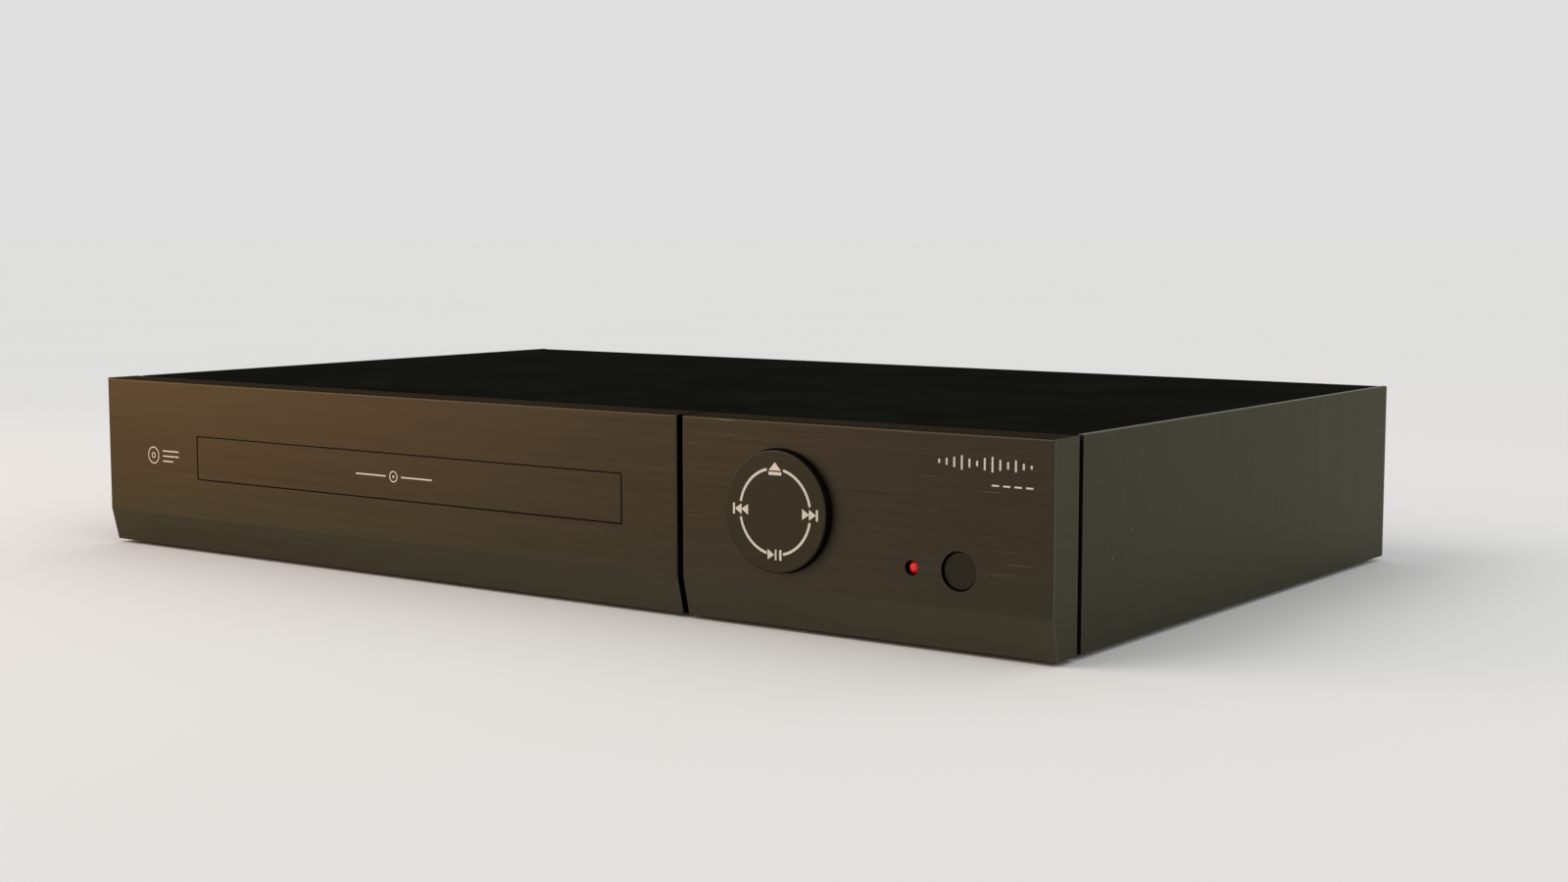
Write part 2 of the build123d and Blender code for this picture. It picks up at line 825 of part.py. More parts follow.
with BuildPart() as pad_gimbal:
    with BuildSketch(upright(pad_pivot_depth - gimbal_thickness / 2)):
        with Locations((pad_x, above(pad_height))):
            Circle(gimbal_outer)
            Circle(gimbal_outer - gimbal_width, mode=Mode.SUBTRACT)
    extrude(amount=-gimbal_thickness)
    cross_pin(
        pad_x - gimbal_outer - 1, pad_x + gimbal_outer + 1, pad_pivot_depth, pad_height,
        pivot_pin_radius + pivot_play, Mode.SUBTRACT,
    )
    for low, high in (
        (pad_height - lug_outer + 0.3, pad_height - gimbal_outer + gimbal_width / 2),
        (pad_height + gimbal_outer - gimbal_width / 2, pad_height + lug_outer - 0.3),
    ):
        post(pad_x, pad_pivot_depth, pivot_pin_radius, low, high)
save(pad_gimbal, "pad_gimbal")

# ---- Power button: a recessed disc with a flange that keeps it in its collar ----

button_flange_front = fascia_wall + 0.4
button_flange_rear = button_flange_front + 0.8
button_stem_tip = button_flange_rear + 0.4

with BuildPart() as power_button:
    stub(button_x, button_height, button_radius, button_recess, button_flange_rear)
    fillet(faces().sort_by(Axis.Y)[0].edges(), radius=0.4)
    stub(button_x, button_height, button_collar - 0.3, button_flange_front, button_flange_rear)
    stub(button_x, button_height, 1.8, button_flange_rear, button_stem_tip)
save(power_button, "power_button")

# ---- Standby lamp: a domed lens on a spacer ----

lamp_seat = 5.6

with BuildPart() as power_led:
    stub(lamp_x, lamp_height, lamp_radius, lamp_recess, lamp_seat)
    fillet(faces().sort_by(Axis.Y)[0].edges(), radius=lamp_radius * 0.9)
    stub(lamp_x, lamp_height, lamp_radius + 0.5, lamp_seat - 1.0, lamp_seat)
save(power_led, "power_led")

with BuildPart() as led_spacer:
    stub(lamp_x, lamp_height, lamp_radius + 0.4, lamp_seat, key_board_depth)
save(led_spacer, "led_spacer")

# ---- Key board with its five switches ----

with BuildPart() as key_board:
    block(
        key_board_left, key_board_left + key_board_width,
        key_board_depth, key_board_depth + board_sheet,
        key_board_low, key_board_low + key_board_height,
    )
    for x, height in key_board_screws:
        stub(x, height, screw_hole, key_board_depth, key_board_depth + board_sheet, Mode.SUBTRACT)
    for x, height in fascia_bosses_right:
        stub(
            x, height, fascia_boss_radius + 0.5, key_board_depth,
            key_board_depth + board_sheet, Mode.SUBTRACT,
        )
save(key_board, "key_board")

switch_front = key_board_depth - switch_body
power_crown = button_stem_tip + button_travel + switch_play

with BuildPart() as key_switches:
    places = [
        (pad_x + key_radius * cos(n * pi / 2), pad_height + key_radius * sin(n * pi / 2), switch_crown)
        for n in range(4)
    ]
    for x, height, crown in places + [(button_x, button_height, power_crown)]:
        half = switch_size / 2
        block(x - half, x + half, switch_front, key_board_depth, height - half, height + half)
        stub(x, height, 1.6, crown, switch_front)
save(key_switches, "key_switches")

with BuildPart() as key_board_screws_set:
    for x, height in key_board_screws:
        rearward_screw(x, height, key_board_depth, board_sheet + 3.0)
save(key_board_screws_set, "key_board_screws")

with BuildPart() as fascia_screws:
    for x, height in fascia_bosses_left + fascia_bosses_right:
        rearward_screw(x, height, plate_back, 7.0, facing=1)
save(fascia_screws, "fascia_screws")

# ---- Ribbon from the key board through the sub-frame to the main board ----

ribbon_arch = 20.0

with BuildPart() as key_ribbon:
    with BuildSketch(across(ribbon_x - ribbon_width / 2)):
        with BuildLine():
            FilletPolyline(
                (behind(key_board_depth + board_sheet), above(ribbon_height)),
                (behind(plate_back + 20.0), above(ribbon_height)),
                (behind(boards_front - 14.0), above(ribbon_arch)),
                (behind(boards_front + 10.0), above(ribbon_arch)),
                (behind(boards_front + 10.0), above(board_top)),
                radius=4.0,
            )
        trace(line_width=ribbon_sheet)
    extrude(amount=ribbon_width)
save(key_ribbon, "key_ribbon")

# ==== Tray ====

# ---- Tray door: the flush front plate ----

with BuildPart() as tray_door:
    with BuildSketch(upright(0)):
        with Locations((door_x, above(door_height_mid))):
            RectangleRounded(door_width, door_height, 0.4)
    extrude(amount=-door_sheet)
    chamfer(faces().sort_by(Axis.Y)[0].edges(), length=0.2)
    # Ledges that hook on the tray's front wall, and ribs along the free ends.
    block(
        door_x - tray_width / 2, door_x + tray_width / 2, door_sheet, tray_front,
        tray_underside, tray_top,
    )
    for side in (-1, 1):
        low, high = sorted((door_x + side * tray_width / 2, door_x + side * (door_width / 2 - 3)))
        block(low, high, door_sheet, tray_front, door_height_mid - 1.5, door_height_mid + 1.5)
save(tray_door, "tray_door")

# ---- Disc tray: stepped disc wells, finger scallops, open slot and side rack ----

tray_left = door_x - tray_width / 2
tray_right = door_x + tray_width / 2
tray_mid_depth = (tray_front + tray_tail_depth) / 2
tray_length = tray_tail_depth - tray_front
rack_pitch = pi * rack_module
rack_first = drive_axle_depth - 1.5 * rack_pitch
rack_teeth = int((tray_tail_depth - rack_first) / rack_pitch)


def centred_disc(radius, mode=Mode.ADD):
    """Adds or cuts a circle about the disc's centre in the open sketch."""
    with Locations((door_x, behind(disc_depth))):
        Circle(radius, mode=mode)


def tray_rectangle(inset, mode=Mode.ADD):
    """Adds or cuts the tray's outline in the open sketch, moved in by this much."""
    with Locations((door_x, behind(tray_mid_depth))):
        RectangleRounded(tray_width - 2 * inset, tray_length - 2 * inset, 4.0 - inset, mode=mode)


with BuildPart() as disc_tray:
    # Skirt round the edge and the top surface with the disc opening.
    with BuildSketch(level(tray_underside)):
        tray_rectangle(0)
        tray_rectangle(tray_wall, Mode.SUBTRACT)
    extrude(amount=tray_thickness)
    with BuildSketch(level(tray_top - tray_wall)):
        tray_rectangle(0)
    extrude(amount=tray_wall)
    # Walls and floors of the two wells, with the scallops' floor beside them.
    with BuildSketch(level(well_floor - tray_wall)):
        centred_disc(disc_radius + disc_play + tray_wall)
    extrude(amount=well_step + tray_wall)
    with BuildSketch(level(tray_underside)):
        centred_disc(small_disc_radius + disc_play + tray_wall)
    extrude(amount=well_floor - tray_underside)
    with BuildSketch(level(well_floor - tray_wall)):
        with Locations((door_x, behind(disc_depth))):
            Rectangle(tray_width - tray_wall, scallop_length + 2 * tray_wall)
    extrude(amount=well_step + tray_wall)
    with BuildSketch(level(well_floor)):
        centred_disc(disc_radius + disc_play)
        with Locations((door_x, behind(disc_depth))):
            RectangleRounded(tray_width - 2 * tray_wall, scallop_length, 6.0)
    extrude(amount=well_step, mode=Mode.SUBTRACT)
    with BuildSketch(level(small_well_floor)):
        centred_disc(small_disc_radius + disc_play)
    extrude(amount=small_well_step, mode=Mode.SUBTRACT)
    # Slot for the spindle and the pickup, open to the rear.
    with BuildSketch(level(tray_underside)):
        centred_disc(slot_width / 2)
        with Locations((door_x, behind((disc_depth + tray_tail_depth + 1) / 2))):
            Rectangle(slot_width, tray_tail_depth + 1 - disc_depth)
    extrude(amount=tray_thickness, mode=Mode.SUBTRACT)
    # Rack under the left side, its teeth facing the middle.
    rack_last = rack_first + rack_teeth * rack_pitch
    root_x = rack_line_x - 1.15 * rack_module
    block(
        root_x - rack_back_width + 1.0, root_x, rack_first, rack_last,
        tray_underside - rack_height, tray_underside,
    )
    half_tooth = rack_pitch / 4 * (1 - backlash_share)
    lean = tan(radians(20))
    root_half = half_tooth + 1.15 * rack_module * lean
    tip_half = half_tooth - 0.9 * rack_module * lean
    tip_x = rack_line_x + 0.9 * rack_module
    with BuildSketch(level(tray_underside - rack_height)):
        with Locations(*[(0, behind(rack_first + (n + 1) * rack_pitch)) for n in range(rack_teeth - 1)]):
            Polygon(
                (root_x - 0.1, -root_half),
                (tip_x, -tip_half),
                (tip_x, tip_half),
                (root_x - 0.1, root_half),
                align=None,
            )
    extrude(amount=rack_height)
save(disc_tray, "disc_tray")

# ==== Loader ====

# ---- Loader frame: base, guide rails, axles, deck bearings and slider guides ----

opening_half = deck_width / 2 + 2.0
opening_front = deck_front - 1.9
opening_rear = deck_rear + 4.0
bearing_inner = deck_width / 2 + 2.5
bearing_outer = bearing_inner + 4.0
drive_axle_top = tray_underside - 1.5
pulley_axle_top = pulley_low + pulley_width + 1.0
motor_ears = loading_motor_radius + 5.0
slider_left = door_x - 30.0
slider_right = door_x + 44.0
bridge_low = rail_top
bridge_high = bridge_low + bridge_sheet
hook_reach = 1.4
hook_half = 2.5
hook_depths = (disc_depth - bridge_width / 4, disc_depth + bridge_width / 4)
hook_low = bridge_low - 7.0
hook_high = bridge_low - 4.0

with BuildPart() as loader_frame:
    with BuildSketch(level(loader_base_height)):
        with Locations((door_x, behind((loader_front + loader_rear) / 2))):
            Rectangle(2 * rail_outer, loader_rear - loader_front)
        with Locations((door_x, behind((opening_front + opening_rear) / 2))):
            Rectangle(2 * opening_half, opening_rear - opening_front, mode=Mode.SUBTRACT)
        with Locations((motor_x, behind(drive_axle_depth))):
            Circle(loading_motor_radius + 0.3, mode=Mode.SUBTRACT)
    extrude(amount=loader_base)
    # Side rails: wall, ledge under the tray and lip over its edge, one profile per side.
    for side in (-1, 1):
        inner = door_x + side * rail_inner
        outer = door_x + side * rail_outer
        tip = inner - side * ledge_width
        lip = inner - side * (tray_play + 1.4)
        with BuildSketch(upright(loader_front)):
            with BuildLine():
                Polyline(
                    (outer, above(loader_base_height)),
                    (outer, above(rail_top)),
                    (lip, above(rail_top)),
                    (lip, above(rail_top - ledge)),
                    (inner, above(rail_top - ledge)),
                    (inner, above(tray_underside - guide_play)),
                    (tip, above(tray_underside - guide_play)),
                    (tip, above(tray_underside - guide_play - ledge)),
                    (inner, above(tray_underside - guide_play - ledge)),
                    (inner, above(loader_base_height)),
                    close=True,
                )
            make_face()
        extrude(amount=-(loader_rear - loader_front))
    block(
        door_x - rail_inner, door_x + rail_inner, loader_rear - loader_wall, loader_rear,
        base_top, rail_top,
    )
    # Lightening windows in the side walls.
    window_middle = (drive_axle_depth + loader_rear) / 2
    for n in (-1, 0, 1):
        depth = window_middle + n * rail_window_pitch - rail_window_length / 2
        for side in (-1, 1):
            low, high = sorted((door_x + side * rail_inner, door_x + side * rail_outer))
            block(
                low, high, depth, depth + rail_window_length,
                base_top + 3.5, tray_underside - 5.5, Mode.SUBTRACT,
            )
    # Axles for the gears.
    post(drive_x, drive_axle_depth, axle_radius, base_top, drive_axle_top)
    post(drive_x, drive_axle_depth, axle_radius + 1.6, base_top, gear_low - 0.1)
    post(pulley_x, drive_axle_depth, axle_radius, base_top, pulley_axle_top)
    post(pulley_x, drive_axle_depth, axle_radius + 1.6, base_top, gear_low - 0.1)
    # Bearings for the deck's rear pins.
    for side in (-1, 1):
        low, high = sorted((door_x + side * bearing_inner, door_x + side * bearing_outer))
        with BuildSketch(across(low)):
            with Locations((behind(deck_pivot_depth), above(deck_pivot_height))):
                Circle(4.0)
            with Locations((behind(deck_pivot_depth), above((base_top + deck_pivot_height) / 2))):
                Rectangle(8.0, deck_pivot_height - base_top)
        extrude(amount=high - low)
        cross_pin(low, high, deck_pivot_depth, deck_pivot_height, deck_pin_radius + 0.06, Mode.SUBTRACT)
    # Guides on either side of the cam slider.
    guide_right = slider_right + slider_travel + 1.0
    block(
        slider_left, guide_right, slider_depth - slider_play - 2.0, slider_depth - slider_play,
        base_top, base_top + 1.5,
    )
    guide_rear = slider_depth + slider_thickness + slider_play
    block(slider_left, guide_right, guide_rear, guide_rear + 1.2, base_top, base_top + 1.5)
    # Hooks on the outer walls for the clamper bridge.
    for side in (-1, 1):
        low, high = sorted((door_x + side * rail_outer, door_x + side * (rail_outer + hook_reach)))
        for depth in hook_depths:
            block(low, high, depth - hook_half, depth + hook_half, hook_low, hook_high)
    # Screw holes at the corners.
    for x, depth in loader_posts:
        post(x, depth, screw_hole, loader_base_height, base_top, Mode.SUBTRACT)
save(loader_frame, "loader_frame")

# ---- Drive gear: large gear below, pinion for the tray's rack above ----

with BuildPart() as drive_gear:
    with BuildSketch(level(gear_low)):
        with Locations((drive_x, behind(drive_axle_depth))):
            gear_face_outline(drive_teeth, gear_module)
    extrude(amount=gear_face)
    post(drive_x, drive_axle_depth, 5.0, gear_low + gear_face, rack_low)
    with BuildSketch(level(rack_low)):
        with Locations((drive_x, behind(drive_axle_depth))):
            gear_face_outline(pinion_teeth, rack_module)
    extrude(amount=rack_height - 0.6)
    post(drive_x, drive_axle_depth, axle_radius + gear_play, gear_low, tray_underside, Mode.SUBTRACT)
save(drive_gear, "drive_gear")

# ---- Pulley gear: belt pulley above, small gear below ----


def grooved_pulley(x, radius, groove, low):
    """Adds a flanged pulley, turned about an upright axis."""
    high = low + pulley_width
    waist = (low + high) / 2
    slack = belt_width / 2 + 0.3
    with BuildSketch(upright(drive_axle_depth)) as section:
        with BuildLine():
            Polyline(
                (x, above(low)),
                (x + radius, above(low)),
                (x + radius, above(low + 0.6)),
                (x + radius - groove, above(waist - slack)),
                (x + radius - groove, above(waist + slack)),
                (x + radius, above(high - 0.6)),
                (x + radius, above(high)),
                (x, above(high)),
                close=True,
            )
        make_face()
    revolve(section.sketch, axis=Axis((x, behind(drive_axle_depth), 0), (0, 0, 1)))


with BuildPart() as pulley_gear:
    with BuildSketch(level(gear_low)):
        with Locations((pulley_x, behind(drive_axle_depth))):
            gear_face_outline(reduction_teeth, gear_module)
    extrude(amount=gear_face + 1.0)
    grooved_pulley(pulley_x, pulley_radius, pulley_groove, pulley_low)
    post(
        pulley_x, drive_axle_depth, axle_radius + gear_play, gear_low,
        pulley_low + pulley_width, Mode.SUBTRACT,
    )
save(pulley_gear, "pulley_gear")

with BuildPart() as motor_pulley:
    grooved_pulley(motor_x, motor_pulley_radius, pulley_groove, pulley_low)
    post(
        motor_x, drive_axle_depth, motor_shaft_radius, pulley_low, pulley_low + pulley_width,
        Mode.SUBTRACT,
    )
save(motor_pulley, "motor_pulley")

# ---- Drive belt: a square rubber ring round both pulleys ----

belt_low = pulley_low + (pulley_width - belt_width) / 2
belt_inner_large = pulley_radius - pulley_groove + belt_play
belt_inner_small = motor_pulley_radius - pulley_groove + belt_play


with BuildPart() as drive_belt:
    with BuildSketch(level(belt_low)):
        with Locations((pulley_x, behind(drive_axle_depth))):
            Circle(belt_inner_large + belt_thickness)
        with Locations((motor_x, behind(drive_axle_depth))):
            Circle(belt_inner_small + belt_thickness)
        make_hull()
    extrude(amount=belt_width)
    with BuildSketch(level(belt_low)):
        with Locations((pulley_x, behind(drive_axle_depth))):
            Circle(belt_inner_large)
        with Locations((motor_x, behind(drive_axle_depth))):
            Circle(belt_inner_small)
        make_hull()
    extrude(amount=belt_width, mode=Mode.SUBTRACT)
save(drive_belt, "drive_belt")

# ---- Loading motor: a can with its magnets, and ears that sit on the loader's base ----

motor_top = base_top + 4.0
motor_low = motor_top - loading_motor_length
motor_hollow = loading_motor_radius - motor_shell
hollow_low = motor_low + motor_end_plate
hollow_high = motor_top - motor_end_plate
bearing_boss = 1.2

with BuildPart() as loading_motor:
    post(motor_x, drive_axle_depth, loading_motor_radius, motor_low, motor_top)
    with BuildSketch(level(base_top)):
        with Locations((motor_x, behind(drive_axle_depth))):
            SlotOverall(2 * motor_ears, 8.0)
    extrude(amount=1.2)
    post(motor_x, drive_axle_depth, motor_hollow, hollow_low, hollow_high, Mode.SUBTRACT)
    post(motor_x, drive_axle_depth, 2.5, hollow_low, hollow_low + bearing_boss)
    post(motor_x, drive_axle_depth, 2.5, motor_top, motor_top + 0.8)
    shaft_hole = motor_shaft_radius + pivot_play
    post(motor_x, drive_axle_depth, shaft_hole, hollow_low, motor_top + 0.8, Mode.SUBTRACT)
save(loading_motor, "loading_motor")

# ---- Its rotor: three wound poles, the commutator and the shaft ----

armature_low = hollow_low + bearing_boss + rotor_gap
armature_high = hollow_high - 3.0

with BuildPart() as loading_rotor:
    with BuildSketch(level(armature_low)):
        with Locations((motor_x, behind(drive_axle_depth))):
            Circle(motor_hollow - rotor_gap)
            with PolarLocations(motor_hollow, 3):
                Rectangle(motor_hollow, 1.8, mode=Mode.SUBTRACT)
    extrude(amount=armature_high - armature_low)
    post(motor_x, drive_axle_depth, 2.4, armature_high, hollow_high - rotor_gap)
    post(motor_x, drive_axle_depth, motor_shaft_radius, hollow_low, pulley_low + pulley_width)
save(loading_rotor, "loading_rotor")

# ---- Cam slider: two slanted slots lift the deck's front pins ----

cam_pin_x = (door_x - 12.0, door_x + 26.0)
cam_dwell = 1.5
slider_high = deck_pivot_height + 6.0

with BuildPart() as cam_slider:
    with BuildSketch(upright(slider_depth)):
        with Locations(((slider_left + slider_right) / 2, above((slider_low + slider_high) / 2))):
            Rectangle(slider_right - slider_left, slider_high - slider_low)
        for x in cam_pin_x:
            with BuildLine(mode=Mode.PRIVATE) as path:
                Polyline(
                    (x + cam_dwell, above(deck_pivot_height)),
                    (x, above(deck_pivot_height)),
                    (x - slider_travel, above(deck_pivot_height - cam_fall)),
                    (x - slider_travel - cam_dwell, above(deck_pivot_height - cam_fall)),
                )
            trace(path.line, line_width=2 * (cam_pin_radius + 0.25), mode=Mode.SUBTRACT)
    extrude(amount=-slider_thickness)
save(cam_slider, "cam_slider")

# ---- Clamper bridge over the tray, with the puck hanging in it ----

with BuildPart() as clamper_bridge:
    with BuildSketch(level(bridge_low)):
        with Locations((door_x, behind(disc_depth))):
            Rectangle(2 * rail_outer, bridge_width)
            Circle(clamp_flange_radius + 3.0)
            Circle(clamp_hole_radius, mode=Mode.SUBTRACT)
    extrude(amount=bridge_sheet)
    for side in (-1, 1):
        low, high = sorted((door_x + side * rail_outer, door_x + side * (rail_outer + 1.6)))
        block(
            low, high, disc_depth - bridge_width / 2, disc_depth + bridge_width / 2,
            bridge_low - 10.0, bridge_high,
        )
        for depth in hook_depths:
            block(
                low, high, depth - hook_half - seam, depth + hook_half + seam,
                hook_low - seam, hook_high + seam, Mode.SUBTRACT,
            )
    with BuildSketch(level(bridge_high)):
        with Locations((door_x, behind(disc_depth))):
            Circle(clamp_flange_radius + 3.0)
            Circle(clamp_flange_radius + 1.2, mode=Mode.SUBTRACT)
    extrude(amount=1.6)
save(clamper_bridge, "clamper_bridge")

puck_low = platform_height + disc_thickness + 0.2
puck_flange_low = bridge_high + 0.3

with BuildPart() as clamper_puck:
    post(door_x, disc_depth, clamp_boss_radius, puck_low, puck_flange_low)
    post(door_x, disc_depth, clamp_flange_radius, puck_flange_low, puck_flange_low + clamp_flange)
    post(door_x, disc_depth, hub_radius + 0.8, puck_low, puck_low + 1.2, Mode.SUBTRACT)
save(clamper_puck, "clamper_puck")

# ---- Traverse deck: a shallow pressed tray with a window for the pickup ----

rod_x = (door_x - rod_spacing / 2, door_x + rod_spacing / 2)
lead_x = door_x + screw_offset
lug_front = (window_front - 4.0, window_front)
lug_back = (window_rear, window_rear + 4.0)
sled_motor_front = lug_front[0] - sled_motor_length
deck_low = deck_top - deck_skirt

with BuildPart() as traverse_deck:
    with BuildSketch(level(deck_low)):
        with Locations((door_x, behind((deck_front + deck_rear) / 2))):
            RectangleRounded(deck_width, deck_rear - deck_front, 4.0)
    extrude(amount=deck_skirt)
    with BuildSketch(level(deck_low)):
        with Locations((door_x, behind((deck_front + deck_rear) / 2))):
            RectangleRounded(
                deck_width - 2 * deck_sheet, deck_rear - deck_front - 2 * deck_sheet, 4.0 - deck_sheet
            )
    extrude(amount=deck_skirt - deck_sheet, mode=Mode.SUBTRACT)
    # Window, and the lugs at its ends that hold the rods and the lead screw.
    for depth0, depth1 in (lug_front, lug_back):
        block(
            rod_x[0] - 3.0, lead_x + 3.0, depth0, depth1, deck_low, deck_top - deck_sheet
        )
    with BuildSketch(level(deck_top - deck_sheet)):
        with Locations((door_x, behind((window_front + window_rear) / 2))):
            Rectangle(deck_window, window_rear - window_front)
        with Locations((door_x, behind(disc_depth))):
            Circle(spindle_motor_radius - 3.0)
    extrude(amount=deck_sheet, mode=Mode.SUBTRACT)
    for x in rod_x:
        stub(x, rod_height, rod_radius + 0.02, lug_front[0], lug_back[1], Mode.SUBTRACT)
    stub(lead_x, rod_height, screw_radius + 0.06, lug_front[0], lug_back[1], Mode.SUBTRACT)
    # Pins: two at the rear to turn on, two at the front for the cam slider.
    for side in (-1, 1):
        low, high = sorted(
            (door_x + side * (deck_width / 2 - deck_sheet), door_x + side * (bearing_outer - 0.5))
        )
        cross_pin(low, high, deck_pivot_depth, deck_pivot_height, deck_pin_radius)
    for x in cam_pin_x:
        stub(x, deck_pivot_height, cam_pin_radius, slider_depth - 0.4, deck_front + deck_sheet)
save(traverse_deck, "traverse_deck")

with BuildPart() as guide_rods:
    for x in rod_x:
        stub(x, rod_height, rod_radius, lug_front[0], lug_back[1])
save(guide_rods, "guide_rods")

with BuildPart() as lead_screw:
    stub(lead_x, rod_height, screw_radius, sled_motor_front + 2.0, lug_back[1])
save(lead_screw, "lead_screw")

with BuildPart() as sled_motor:
    stub(lead_x, rod_height, sled_motor_radius, sled_motor_front, lug_front[0])
    block(
        lead_x - sled_motor_radius, lead_x + sled_motor_radius, lug_front[0] - 1.2, lug_front[0],
        deck_low, deck_top - deck_sheet,
    )
    stub(lead_x, rod_height, screw_radius + 0.06, sled_motor_front + 1.9, lug_front[0], Mode.SUBTRACT)
    block(
        lead_x - sled_motor_radius - 1, lead_x + sled_motor_radius + 1, sled_motor_front - 1,
        lug_front[0] + 1, deck_top - deck_sheet, deck_top + 4, Mode.SUBTRACT,
    )
save(sled_motor, "sled_motor")

# ---- Spindle motor: a base with its stator, and the bell that turns over it ----

spindle_base = 0.8
bell_low = deck_top + spindle_base + 0.4
bell_roof = 0.8
bell_wall = 2.3
stator_radius = spindle_motor_radius - bell_wall - rotor_gap
stator_high = spindle_top - bell_roof - 0.6

with BuildPart() as spindle_motor:
    post(door_x, disc_depth, spindle_motor_radius, deck_top, deck_top + spindle_base)
    post(door_x, disc_depth, stator_radius, deck_top + spindle_base, stator_high)
    post(door_x, disc_depth, 4.5, deck_top - 2.6, deck_top)
    post(door_x, disc_depth, spindle_radius + 0.05, deck_top - 1.6, stator_high, Mode.SUBTRACT)
save(spindle_motor, "spindle_motor")

with BuildPart() as spindle_bell:
    post(door_x, disc_depth, spindle_motor_radius, bell_low, spindle_top)
    chamfer(faces().sort_by(Axis.Z)[-1].edges(), length=0.6)
    post(
        door_x, disc_depth, spindle_motor_radius - bell_wall, bell_low, spindle_top - bell_roof,
        Mode.SUBTRACT,
    )
    post(door_x, disc_depth, spindle_radius, bell_low, spindle_top, Mode.SUBTRACT)
save(spindle_bell, "spindle_bell")

# ---- Turntable: spindle, cone for the disc's hole and the rim it lies on ----

with BuildPart() as turntable:
    with BuildSketch(upright(disc_depth)):
        with BuildLine():
            Polyline(
                (door_x, above(deck_top - 1.2)),
                (door_x + spindle_radius, above(deck_top - 1.2)),
                (door_x + spindle_radius, above(spindle_top + 0.4)),
                (door_x + hub_radius, above(spindle_top + 0.4)),
                (door_x + turntable_radius - 1.0, above(platform_height - 2.6)),
                (door_x + turntable_radius, above(platform_height - 2.0)),
                (door_x + turntable_radius, above(platform_height)),
                (door_x + hub_radius, above(platform_height)),
                (door_x + hub_radius, above(platform_height + 1.0)),
                (door_x + hub_radius - 1.2, above(platform_height + hub_height)),
                (door_x, above(platform_height + hub_height)),
                close=True,
            )
        make_face()
    revolve(axis=Axis((door_x, behind(disc_depth), 0), (0, 0, 1)))
save(turntable, "turntable")

# ---- Optical pickup: sled body on the rods, lens carrier on top ----

pickup_low = rod_height - 3.5
pickup_high = rod_height + 8.0
pickup_half = rod_spacing / 2 - 3.5
carrier_high = platform_height - 2.6

with BuildPart() as optical_pickup:
    block(
        door_x - pickup_half, door_x + pickup_half, pickup_start, pickup_rear, pickup_low, pickup_high
    )
    chamfer(edges().filter_by(Axis.Z), length=2.0)
    # Bushes on the left rod and a fork on the right one.
    for depth in (pickup_start + 3.0, pickup_rear - 9.0):
        block(
            rod_x[0] - 2.8, door_x - pickup_half + 1, depth, depth + 6.0, rod_height - 2.8, rod_height + 2.8
        )
        stub(rod_x[0], rod_height, rod_radius + 0.05, depth, depth + 6.0, Mode.SUBTRACT)
    fork = (pickup_start + pickup_rear) / 2
    block(
        door_x + pickup_half - 1, rod_x[1] + 2.8, fork - 3, fork + 3, rod_height - 2.8, rod_height + 2.8
    )
    block(
        rod_x[1] - rod_radius, rod_x[1] + 3.0, fork - 3, fork + 3,
        rod_height - rod_radius - 0.05, rod_height + rod_radius + 0.05, Mode.SUBTRACT,
    )
    # Arm under the deck to the lead screw, with a cradle that its thread runs in.
    block(
        door_x + pickup_half - 1, lead_x + 2.6, fork + 5, fork + 10, pickup_low, rod_height - 2.2
    )
    block(
        lead_x - 2.6, lead_x + 2.6, fork + 5, fork + 10, rod_height - 2.3, rod_height
    )
    stub(lead_x, rod_height, screw_radius + 0.08, fork + 5, fork + 10, Mode.SUBTRACT)
    # Lens carrier.
    block(door_x - 10, door_x + 10, pickup_start + 1.0, lens_depth + 9.0, pickup_high, carrier_high)
    post(door_x, lens_depth, lens_radius, pickup_high + 1, carrier_high, Mode.SUBTRACT)
save(optical_pickup, "optical_pickup")

with BuildPart() as objective_lens:
    post(door_x, lens_depth, lens_radius - 0.05, pickup_high + 1, carrier_high + 0.6)
    chamfer(faces().sort_by(Axis.Z)[-1].edges(), length=0.5, length2=1.2)
save(objective_lens, "objective_lens")

# ---- Screws that hold the loader, the boards and the cover ----

with BuildPart() as loader_screws:
    for x, depth in loader_posts:
        downward_screw(x, depth, base_top, 7.0)
save(loader_screws, "loader_screws")

with BuildPart() as cover_screws:
    for x in cover_screw_x:
        rearward_screw(x, cover_screw_height, cover_rear, 5.0, facing=1)
save(cover_screws, "cover_screws")

with BuildPart() as board_screws:
    for x, depth in main_posts + power_posts:
        downward_screw(x, depth, board_top, 5.0)
save(board_screws, "board_screws")

# ==== Electronics ====


def circuit_board(left, right, screws):
    """Adds a board with its screw holes."""
    block(left, right, boards_front, boards_rear, board_height, board_top)
    for x, depth in screws:
        post(x, depth, screw_hole, board_height, board_top, Mode.SUBTRACT)


def main_board_x(share):
    """X of a place on the main board, as a share of its width from the left."""
    return main_board_left + share * (main_board_right - main_board_left)


def board_depth(share):
    """Depth of a place on either board, as a share of its length from the front."""
    return boards_front + share * (boards_rear - boards_front)


with BuildPart() as main_board:
    circuit_board(main_board_left, main_board_right, main_posts)
save(main_board, "main_board")

with BuildPart() as power_board:
    circuit_board(power_board_left, power_board_right, power_posts)
save(power_board, "power_board")

